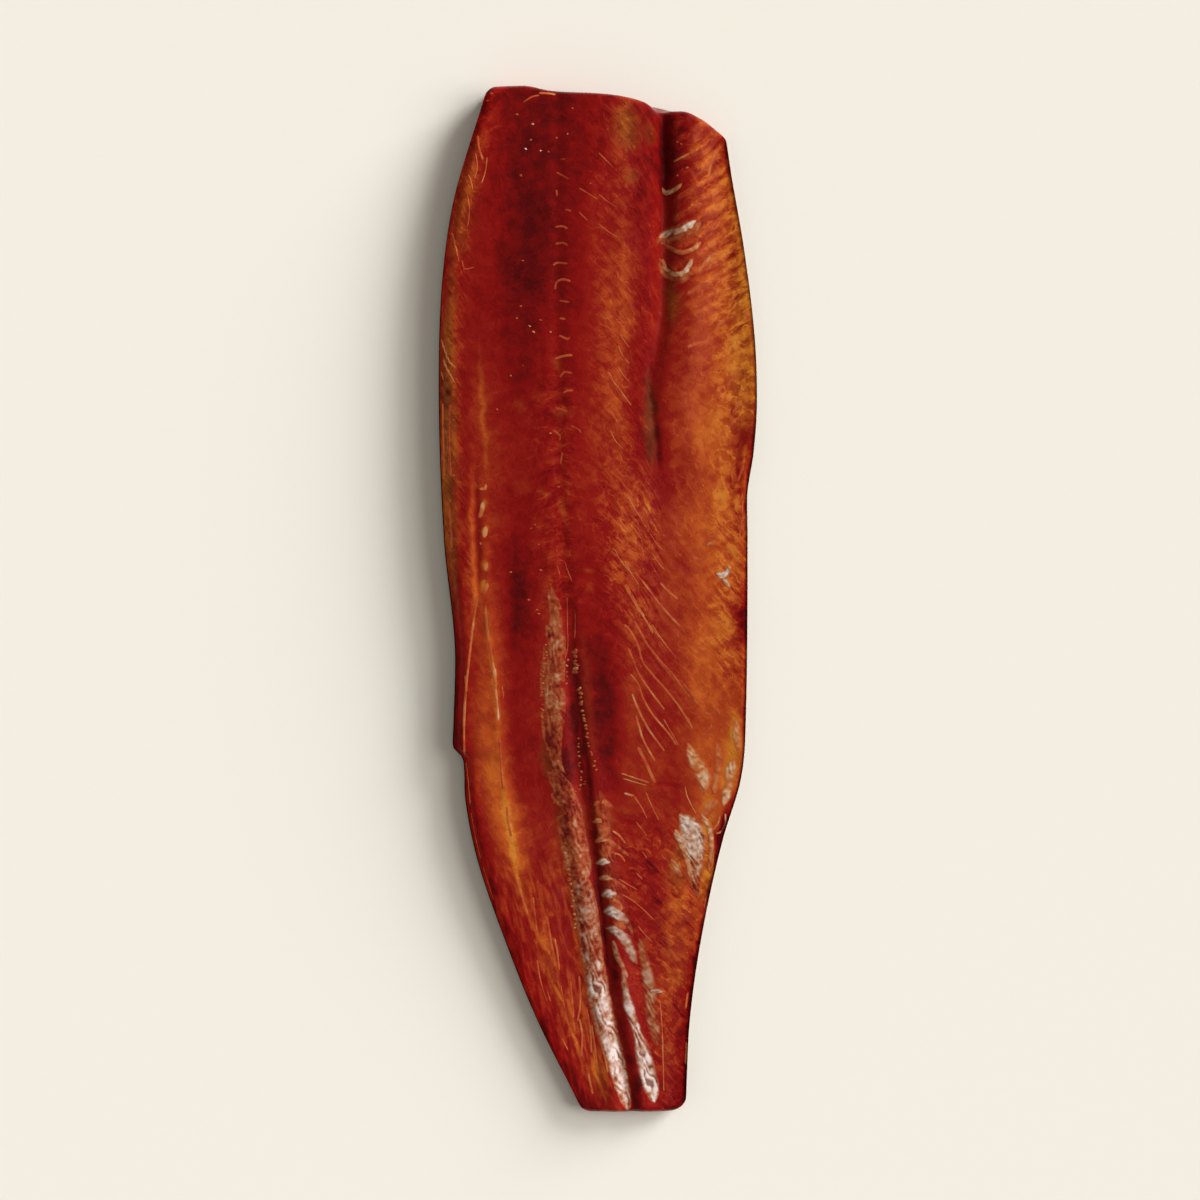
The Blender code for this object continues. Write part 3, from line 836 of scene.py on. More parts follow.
# %% The skin
SKIN_ROWS, SKIN_COLUMNS, SKIN_CUT_ROWS, SKIN_ROUND_COLUMNS = 240, 60, 3, 8
skin_along = along_shares(SKIN_ROWS, SKIN_CUT_ROWS)
skin_across = across_shares(skin_along, SKIN_COLUMNS, SKIN_ROUND_COLUMNS)
outer = under_surface(skin_along, skin_across, 0.0)
inner = under_surface(skin_along, skin_across, SKIN)
outer_ids = np.arange(outer[..., 0].size).reshape(outer.shape[:2])
inner_ids = outer_ids + outer_ids.size
rims = (
    np.stack((inner_ids[0], outer_ids[0])),
    np.stack((outer_ids[-1], inner_ids[-1])),
    np.stack((outer_ids[:, 0], inner_ids[:, 0])),
    np.stack((inner_ids[:, -1], outer_ids[:, -1])),
)
rim_uv = [
    uv_grid(2, rim.shape[1], (0.005, 0.005 + 0.01 * k, 0.995, 0.01 + 0.01 * k))
    for k, rim in enumerate(rims)
]
outer_uv = uv_grid(*outer.shape[:2], (0.005, 0.06, 0.75, 0.995))
inner_uv = uv_grid(*outer.shape[:2], (0.77, 0.06, 0.995, 0.995))
skin = make_mesh(
    "skin",
    np.concatenate((outer.reshape(-1, 3), inner.reshape(-1, 3))),
    np.concatenate((grid_cells(outer_ids)[:, ::-1], grid_cells(inner_ids), *map(grid_cells, rims))),
    np.concatenate((grid_cells(outer_uv)[:, ::-1], grid_cells(inner_uv), *map(grid_cells, rim_uv))),
)

# %% A tape measure for the scales


def tape(surface):
    """Millimetres across the skin from the lateral line, and from the nearer long edge.

    The steps from column to column are summed, and the sum at the bone line is taken off.
    """
    x, y, z = np.moveaxis(surface, -1, 0)
    run = np.cumsum(np.hypot(np.diff(x, prepend=x[:, :1]), np.diff(z, prepend=z[:, :1])), axis=1)
    middle = curve_through(BONE_LINE, y[:, x.shape[1] // 2])
    lateral = np.array([np.interp(*row) for row in zip(middle, x, run)])
    return run - lateral[:, None], np.minimum(run, run[:, -1:] - run)


off_lateral, from_rim = tape(outer)
paint(skin, "off_lateral", np.tile(off_lateral.ravel(), 2))
paint(skin, "from_rim", np.tile(from_rim.ravel(), 2))
print(f"skin: {-off_lateral.min():.0f} mm up the back, {off_lateral.max():.0f} mm down the belly")

# %% [markdown]
# ## Bands on the flesh
#
# Three things lie on the flesh: the edges of the sheets between the blocks, the film that
# dried over the tail, and beads of fat. They could be painted into the colour, but they
# catch the light because they stand proud. So each is a low band: a centre line, a half
# width, and a rounded section whose rim dips just below the surface, which hides its border
# without a seam. The first thing a band needs is the height of the flesh under it.

# %% Height of the flesh anywhere
WALKS = 12


def flesh_height(x, y):
    """Height of the flesh side at a place in plan.

    The patch gives a place for two shares, not the other way round. So the shares start in
    the middle and are moved by what is missing, divided by the length and the width.
    """
    along = np.clip((y - BACK_EDGE[0][0]) / LENGTH, 0, 1)
    across = np.full(np.shape(x), 0.5)
    for _ in range(WALKS):
        at_x, at_y, _ = inset_place(along, across, SKIN)
        along = np.clip(along + (y - at_y) / LENGTH, 0, 1)
        across = np.clip(across + (x - at_x) / width_at(along), 0, 1)
    return flesh_surface(along, across)[..., 2]


print(f"height of the loin: {flesh_height(np.array([-38.0]), np.array([50.0]))[0]:.1f} mm")

# %% Plan of a band


def band_plan(points, step):
    """Plan of one band: a row of places across the band at every station of its centre line.

    Each point is (x, y, half width, white), with a smooth curve through them. At both ends
    the width falls to nothing along a quarter ellipse, so the ends are round. Returned are
    x and y, the side from -1 to 1, the taper, the mm off the centre line and along it, and
    the white.
    """
    corner, run = measured(points)
    stations = int(np.clip(np.ceil(run[-1] / step), 6, 560))
    at = np.linspace(0, 1, stations + 1)
    if stations < 40:
        at = (1 - np.cos(np.pi * at)) / 2
    x, y, half_width, white = (
        curve_through(np.column_stack((run, value)), at * run[-1]) for value in corner.T
    )
    dx, dy = np.gradient(x), np.gradient(y)
    size = np.hypot(dx, dy)
    end_length = max(1.3 * half_width.max(), 1.5)
    to_end = np.minimum(at, 1 - at) * run[-1]
    taper = edge_rise(to_end, end_length)[:, None]
    columns = int(np.clip(np.ceil(2 * half_width.max() / step), 2, 60)) + 1
    side = np.linspace(-1, 1, columns)
    reach = half_width[:, None] * taper * side
    plan_x = x[:, None] + reach * (dy / size)[:, None]
    plan_y = y[:, None] - reach * (dx / size)[:, None]
    return np.broadcast_arrays(
        plan_x, plan_y, side, taper, reach, at[:, None] * run[-1], white[:, None])


print("stations and places across a band of 20 by 4 mm:",
      band_plan(((0, 0, 2, 1), (0, 20, 2, 1)), 0.5)[0].shape)

# %% Laying the bands
DIP = 0.05                                # mm, how far a rim lies below the flesh
UNDER = 0.3                               # mm, how far the underside goes below that


def plain(x, y, rim, reach, run, white, soft):
    """Look of a smooth band: its white wanders between 0.4 and 1.2 times the given one."""
    return 1.0 + 0 * rim, 0 * rim, rim, white * (0.8 + 0.4 * wander(x, y, 5, 71))


def lay_bands(name, bands, step, lift, softness, look=plain):
    """One piece made of many bands. Each is (cream, points).

    Every band has a rounded top that stands 'lift' mm proud, or less if the band is narrower
    than 1 mm or thin, with furrows 0.2 mm below its crests, and an underside that follows
    the flesh below it. 'softness' gives, for a band's width, how gradually its colour fades
    towards the rim, from 0 to 1. 'look' gives four fields: the fold, from -1 in a furrow to
    1 on a crest; how thin the film is, from 0 to 1; how far the rim is away, from 0 to 1;
    and the white.
    """
    widths = np.array([max(point[2] for point in points) for _, points in bands]) + 0.4
    edge = np.concatenate(([0], np.cumsum(widths))) / widths.sum() * 0.99 + 0.005
    points, cells, uvs, fields, count = [], [], [], [], 0
    for (cream, line), width, v0, v1 in zip(bands, widths, edge[:-1], edge[1:]):
        soft = softness(width)
        x, y, side, taper, reach, run, white = band_plan(line, step)
        fold, thin, rim, white = look(x, y, (1 - np.abs(side)) * taper, reach, run, white, soft)
        foot = flesh_height(x, y) - DIP
        rise = (1 - side ** 2) * taper
        stands = DIP + lift * min(1, width) * (1 - 0.5 * thin) + 0.1 * (fold - 1) * (1 - 0.7 * thin)
        over = foot + stands * rise
        under = foot - UNDER * rise
        rows, columns = x.shape
        inside = np.s_[:, 1:-1]
        top_ids = count + np.arange(rows * columns).reshape(rows, columns)
        low_ids = top_ids.copy()
        low_ids[inside] = count + rows * columns + np.arange(rows * (columns - 2)).reshape(rows, -1)
        split, gap, end = v0 + np.array((0.7, 0.74, 0.94)) * (v1 - v0)
        top_uv = uv_grid(rows, columns, (v0, 0.005, split, 0.995))
        low_uv = uv_grid(rows, columns, (gap, 0.005, end, 0.995))
        points += [
            np.stack((x, y, over), -1).reshape(-1, 3),
            np.stack((x, y, under), -1)[inside].reshape(-1, 3),
        ]
        cells += [grid_cells(top_ids), grid_cells(low_ids)[:, ::-1]]
        uvs += [grid_cells(top_uv), grid_cells(low_uv)[:, ::-1]]
        furrow = 1 - ramp(fold, -1, -0.5)
        field = np.stack(np.broadcast_arrays(white, cream, rim, furrow, soft), -1)
        fields += [field.reshape(-1, 5), field[inside].reshape(-1, 5)]
        count += rows * (2 * columns - 2)
    points = np.concatenate(points)
    piece = make_mesh(name, points, np.concatenate(cells), np.concatenate(uvs))
    for label, values in zip(("white", "cream", "rim", "furrow", "soft"), np.concatenate(fields).T):
        paint(piece, label, values)
    paint_flesh(piece, points[:, 0], points[:, 1])
    return piece


print(f"a band dips {DIP} mm at its rim and is at most {DIP + UNDER} mm deep")

# %% [markdown]
# ## Lines of the sheets
#
# Where a knife has run along the muscle, the sheets between the blocks are left as fine
# pale edges: a fan over the waist, creases, and dashes on the loin. The bones that were
# pulled or cut leave a row of short arcs down the middle. Each is one narrow band, because
# a line on the surface keeps its width and its gleam however the mesh beneath is cut.

# %% Where the lines run
# White, yellowness of the white, half width in mm, (x, y) points.
LINES = (
    # fan over the belly side of the waist
    (0.34, 0.3, 0.6, ((13, -12), (16, -15), (20, -23), (23, -32), (27, -37), (34, -45), (41, -54),
                      (48, -65))),
    (0.34, 0.3, 0.54, ((18, -10), (24, -21), (29, -28), (38, -38), (46, -49), (50, -53))),
    (0.3, 0.3, 0.48, ((24, -10), (32, -20), (37, -26))),
    (0.4, 0.2, 0.54, ((15, -24), (18, -31), (21, -38), (25, -44), (34, -56))),
    (0.4, 0.3, 0.54, ((16, -37), (20, -42), (23, -50), (27, -57), (36, -68), (40, -74))),
    (0.45, 0.2, 0.6, ((17, -47), (22, -59), (26, -66), (34, -77))),
    (0.45, 0.35, 0.6, ((19, -58), (21, -65), (23, -71), (29, -82))),
    (0.4, 0.4, 0.84, ((20, -74), (24, -82), (29, -93))),
    (0.35, 0.2, 0.48, ((13, 20), (17, 13), (21, 7))),
    (0.4, 0.2, 0.6, ((13, 8), (17, 1), (20, -4), (24, -10), (28, -17))),
    (0.45, 0.1, 0.54, ((22, 10), (26, 5), (32, -3), (42, -14))),
    (0.45, 0.2, 0.54, ((31, 9), (36, 4), (41, 0))),
    (0.4, 0.3, 0.54, ((17, 3), (20, -3), (24, -9))),
    (0.35, 0.2, 0.48, ((27, -12), (33, -21), (40, -30))),
    (0.35, 0.2, 0.48, ((8, 26), (12, 19), (16, 14))),
    (0.3, 0.3, 0.48, ((10, 42), (15, 35), (20, 30))),
    (0.3, 0.3, 0.48, ((14, 54), (18, 47), (23, 39))),
    (0.35, 0.2, 0.6, ((22, 47.5), (25, 44))),
    (0.3, 0.2, 0.48, ((26, 34), (30, 28), (33, 25))),
    (0.35, 0.1, 0.48, ((27, 24), (31, 18), (34, 15))),
    (0.3, 0.2, 0.48, ((10, 32), (13, 27), (18, 22))),
    (0.25, 0.4, 0.54, ((30, -30), (34, -35), (39, -41))),
    (0.3, 0.2, 0.48, ((33, -60), (37, -67), (41, -74))),
    (0.3, 0.5, 0.72, ((43, -42), (47, -48), (50, -53))),
    (0.3, 0.5, 0.6, ((45, -59), (48, -66))),
    (0.35, 0.4, 0.6, ((54, -57), (57, -58), (60, -56), (62, -58))),
    (0.35, 0.4, 0.6, ((52, -69), (55, -67), (58, -63))),
    (0.3, 0.2, 0.48, ((24, -97), (27, -104), (31, -112))),
    (0.3, 0.2, 0.48, ((18, -99), (22, -105), (25, -111))),
    (0.35, 0.1, 0.48, ((19, -112), (22, -116), (25, -120))),
    # creases at the waist
    (0.42, 0, 0.42, ((11.5, -87.6), (17, -89.5), (26, -92.6))),
    (0.42, 0, 0.42, ((12, -90), (18, -92), (25, -94))),
    (0.6, 0.2, 0.6, ((13, -97.6), (16, -98.6), (18.5, -99))),
    (0.5, 0, 0.48, ((44, -94), (45, -99), (47, -103.5), (50, -109))),
    (0.5, 0.2, 0.54, ((7, -116.5), (11, -119.5), (14, -123.5))),
    (0.5, 0.1, 0.54, ((6, -128), (11, -129), (14, -133))),
    (0.4, 0.1, 0.48, ((10, -141), (15, -144), (20, -147))),
    (0.3, 0.1, 0.48, ((12, -149), (17, -152), (23, -157), (28, -162))),
    (0.3, 0.3, 0.48, ((19, -138), (23, -142))),
    (0.35, 0.2, 0.48, ((22, -127), (25, -131))),
    (0.3, 0.1, 0.48, ((20, -165), (24, -170), (28, -174))),
    # bone line: ends of the cut pin bones
    (0.14, 0.4, 0.54, ((-19.5, 222), (-16, 222.5))),
    (0.19, 0.4, 0.54, ((-21.5, 216), (-18, 214), (-14.5, 212))),
    (0.21, 0.4, 0.54, ((-21, 207.5), (-20.6, 203))),
    (0.19, 0.4, 0.54, ((-17, 197), (-13, 196))),
    (0.19, 0.4, 0.6, ((-22, 188), (-18.5, 188.4), (-15, 187))),
    (0.17, 0.4, 0.6, ((-22, 179.5), (-18, 180), (-15, 178.5))),
    (0.19, 0.4, 0.6, ((-23, 168.5), (-20.5, 170), (-15, 169.5))),
    (0.21, 0.4, 0.66, ((-21.6, 156), (-21, 160), (-18, 161.6), (-13.5, 160.6))),
    (0.11, 0.4, 0.6, ((-20, 151), (-14, 150))),
    (0.23, 0.4, 0.6, ((-20, 142), (-16, 141.6))),
    (0.21, 0.4, 0.6, ((-20, 133.5), (-15, 131.5), (-14, 133))),
    (0.28, 0.4, 0.72, ((-22, 121.5), (-17, 123), (-12.5, 123.5))),
    (0.21, 0.4, 0.6, ((-19.5, 112), (-16.5, 115), (-12.5, 114))),
    (0.23, 0.4, 0.6, ((-18, 104), (-15.5, 105.5), (-12, 105.6))),
    (0.17, 0.4, 0.6, ((-22, 97), (-15, 95))),
    (0.17, 0.4, 0.6, ((-23, 86), (-19, 82), (-20, 80))),
    (0.19, 0.4, 0.54, ((-14, 88), (-10, 86), (-8, 84))),
    (0.14, 0.4, 0.6, ((-18, 75), (-19, 68))),
    (0.19, 0.4, 0.48, ((-17, 20), (-15.5, 15), (-13, 9))),
    (0.17, 0.4, 0.48, ((-21, 18), (-19, 12))),
    (0.23, 0.4, 0.42, ((-15.6, 2), (-15.6, -8), (-15.2, -22), (-17, -31))),
    (0.21, 0.4, 0.48, ((-12.5, 0), (-11.5, -10), (-12, -20))),
    # lines of the back edge
    (0.55, 0.1, 0.48, ((-79.5, 132), (-77, 125), (-75, 120), (-71.5, 117))),
    (0.5, 0.1, 0.48, ((-78.5, 122), (-76, 116), (-72, 109))),
    (0.5, 0.3, 0.48, ((-79.6, 116), (-78, 111))),
    (0.3, 1, 0.6, ((-78.6, 100), (-78.4, 85), (-78, 62))),
    (0.15, 1, 0.6, ((-75, 99), (-75.5, 80), (-74.5, 62))),
    (0.2, 0.9, 0.54, ((-76, 50), (-74.5, 38), (-74, 26))),
    (0.7, 0.8, 1.08, ((-58, 50), (-58.6, 45), (-60, 41))),
    (0.5, 1, 1.32, ((-56.6, 37.5), (-57.4, 31))),
    (0.6, 0.1, 0.6, ((-59.5, 29.5), (-59, 27.5))),
    (0.4, 1, 0.96, ((-56, 19.5), (-57, 14.5))),
    (0.4, 0.9, 1.08, ((-55.5, 9), (-57, 5), (-58, 2.5))),
    (0.5, 0.6, 0.84, ((-56, 59), (-57.5, 56), (-60, 56))),
    (0.45, 0.2, 0.6, ((-61, 1), (-62.5, -8), (-64, -20), (-65.6, -34), (-67, -48), (-67.8, -66),
                      (-67.6, -80))),
    (0.45, 0.4, 0.72, ((-57, -2), (-56.2, -12), (-55, -22), (-53, -33), (-52, -45))),
    (0.5, 0.6, 0.6, ((-52, -34), (-51.6, -46), (-50.2, -60))),
    (0.7, 0.1, 0.54, ((-50.6, -57), (-50.2, -61))),
    (0.3, 0.5, 0.6, ((-49.8, -70), (-49, -84), (-48, -96))),
    (0.5, 0.8, 0.72, ((-46, -104), (-45.4, -112), (-43.6, -120))),
    (0.3, 0.3, 0.48, ((-48.5, -43), (-47.6, -50))),
    (0.4, 0.4, 0.48, ((-67, -82), (-65.8, -92), (-64.8, -104))),
    (0.4, 0.4, 0.48, ((-64.4, -108), (-62.2, -120), (-59.6, -131))),
    (0.35, 0.4, 0.42, ((-58.4, -135), (-55, -146), (-53, -152))),
    (0.35, 0.5, 0.54, ((-67, -38), (-66.4, -47))),
    # tail: near-vertical streaks
    (0.35, 0.5, 0.6, ((-41, -142), (-38, -152), (-35.5, -160))),
    (0.3, 0.5, 0.54, ((-33, -150), (-32, -160), (-31, -168))),
    (0.3, 0.4, 0.6, ((-26, -160), (-24, -172), (-22, -186))),
    (0.4, 0.5, 0.54, ((-22, -171), (-20.5, -180), (-19.6, -188))),
    (0.3, 0.3, 0.48, ((-31, -182), (-29, -194), (-26, -204))),
    (0.3, 0.4, 0.48, ((-19, -195), (-17, -207))),
    (0.35, 0.4, 0.54, ((-14, -193), (-13, -206), (-12.5, -212))),
    (0.35, 0.4, 0.54, ((-9.6, -190), (-9, -203), (-10.4, -214))),
    (0.4, 0.3, 0.54, ((-9.5, -212), (-8, -222), (-8.5, -232))),
    (0.35, 0.4, 0.54, ((-6, -206), (-4, -218), (-3.4, -230))),
    (0.35, 0.4, 0.54, ((-3.4, -215), (-1.5, -228), (-0.6, -238))),
    (0.45, 0.4, 0.6, ((2.4, -228), (4, -234), (5, -240))),
    (0.4, 0.2, 0.6, ((-5, -240), (-3.6, -247), (-2.6, -251))),
    (0.3, 0.2, 0.48, ((-26, -198), (-24, -204))),
    (0.3, 0.2, 0.48, ((-18.5, -222), (-15, -229))),
    (0.4, 0.3, 0.42, ((31.5, -204), (32.6, -220), (33, -234), (33.4, -250))),
    (0.45, 0.7, 0.6, ((45.6, -199), (44.4, -208))),
    (0.4, 0.7, 0.54, ((45, -224), (44.5, -236))),
    # fine lines of the lower loin
    (0.4, 0.1, 0.48, ((10, 118), (13, 113), (16, 110))),
    (0.4, 0.1, 0.48, ((5, 115.5), (8, 110), (11, 106), (17, 98))),
    (0.35, 0.1, 0.48, ((5.6, 97), (8, 92.5), (10, 89))),
    (0.3, 0.2, 0.48, ((6, 86), (9, 80), (13, 76))),
    (0.35, 0.1, 0.48, ((4, 143), (8, 138.6))),
    (0.35, 0.1, 0.48, ((10, 146.5), (14, 141))),
    (0.3, 0.1, 0.48, ((11, 134), (16, 127))),
    (0.3, 0.1, 0.48, ((10, 129), (12, 124), (16, 119))),
    (0.25, 0.1, 0.48, ((0, 226), (4, 222), (8, 218))),
    (0.25, 0.1, 0.48, ((-10, 208), (-5, 205), (0, 202))),
    (0.25, 0.1, 0.48, ((0, 205), (5, 201), (10, 198))),
    (0.25, 0.1, 0.48, ((0, 190), (5, 186), (10, 183))),
    (0.25, 0.1, 0.48, ((-10, 196), (-5, 191))),
    (0.2, 0.1, 0.48, ((10, 233), (13, 229))),
    # belly flap
    (0.4, 0.6, 0.72, ((56, 215), (57.5, 222), (60, 229))),
    (0.4, 0.2, 0.6, ((38, 222), (44, 225), (50, 228.5))),
    (0.35, 0.7, 0.72, ((66, 200), (67.5, 205))),
    (0.6, 0.5, 0.84, ((46, 176), (49, 178), (51.5, 181))),
    (0.5, 0.3, 0.72, ((50.5, 166), (53, 169), (57, 174.5))),
    (0.3, 0.9, 1.08, ((45, 155), (50, 158), (58, 161))),
    (0.3, 0.9, 0.84, ((45, 128), (50, 130), (56, 131))),
    (0.35, 0.8, 0.84, ((74, 147), (77, 142))),
    (0.3, 0.8, 0.72, ((60, 139), (66, 143))),
    (0.3, 0.8, 0.72, ((64, 108), (70, 115))),
    (0.3, 0.8, 0.72, ((68, 95), (73, 101))),
    (0.3, 0.8, 0.72, ((66, 88), (71, 93))),
    (0.35, 0.8, 0.72, ((71, 60), (74, 69))),
    (0.3, 0.6, 0.6, ((71.6, 30), (73, 41), (73.6, 52))),
    (0.3, 0.8, 0.96, ((56, 34), (62, 30))),
    (0.3, 0.8, 0.84, ((48, 22), (54, 19))),
    # head corner
    (0.5, 0.9, 0.6, ((-30, 255.8), (-25, 255.6), (-21, 255))),
    (0.28, 0.8, 0.5, ((-38, 251), (-33, 254), (-29, 254.8))),
    (0.4, 0.7, 0.54, ((-61, 235), (-60, 228), (-58, 222))),
    (0.35, 0.7, 0.48, ((-62, 226), (-61, 219), (-62.5, 212))),
    (0.35, 0.6, 0.48, ((-56, 224), (-57, 216), (-59, 210))),
    (0.4, 0.6, 0.48, ((-65.5, 215), (-64, 211), (-63.4, 207))),
    (0.25, 0.5, 0.48, ((-66, 205), (-65, 196), (-66, 188))),
    (0.25, 0.3, 0.48, ((-69, 172), (-67, 167), (-62, 168))),
    (0.25, 0.5, 0.48, ((-74, 186), (-72, 178), (-70, 170))),
    # tail edge of the belly: pale lines where the edge gleams, partly painted highlights
    (0.6, 0, 0.54, ((64.6, -108), (64.8, -113), (62, -118), (59.5, -118.5))),
    (0.55, 0.1, 0.54, ((62, -109), (61, -113), (58, -117))),
    (0.4, 0.5, 0.54, ((57, -118), (58.5, -127), (58, -136))),
    (0.5, 0.1, 0.48, ((55, -150), (54, -157))),
)
print(f"{len(LINES)} lines")

# %% Lines of the sheets
LINE_STEP, LINE_LIFT = 0.8, 0.035         # mm
LINE_SPREAD, LINE_WHITE = 1.6, 1.1        # what widens and whitens all of them
lines = lay_bands("sheet_lines", [
    (0.8 + 0.2 * yellow, [(x, y, LINE_SPREAD * half_width, LINE_WHITE * white) for x, y in points])
    for white, yellow, half_width, points in LINES
], LINE_STEP, LINE_LIFT, lambda width: 1.0)
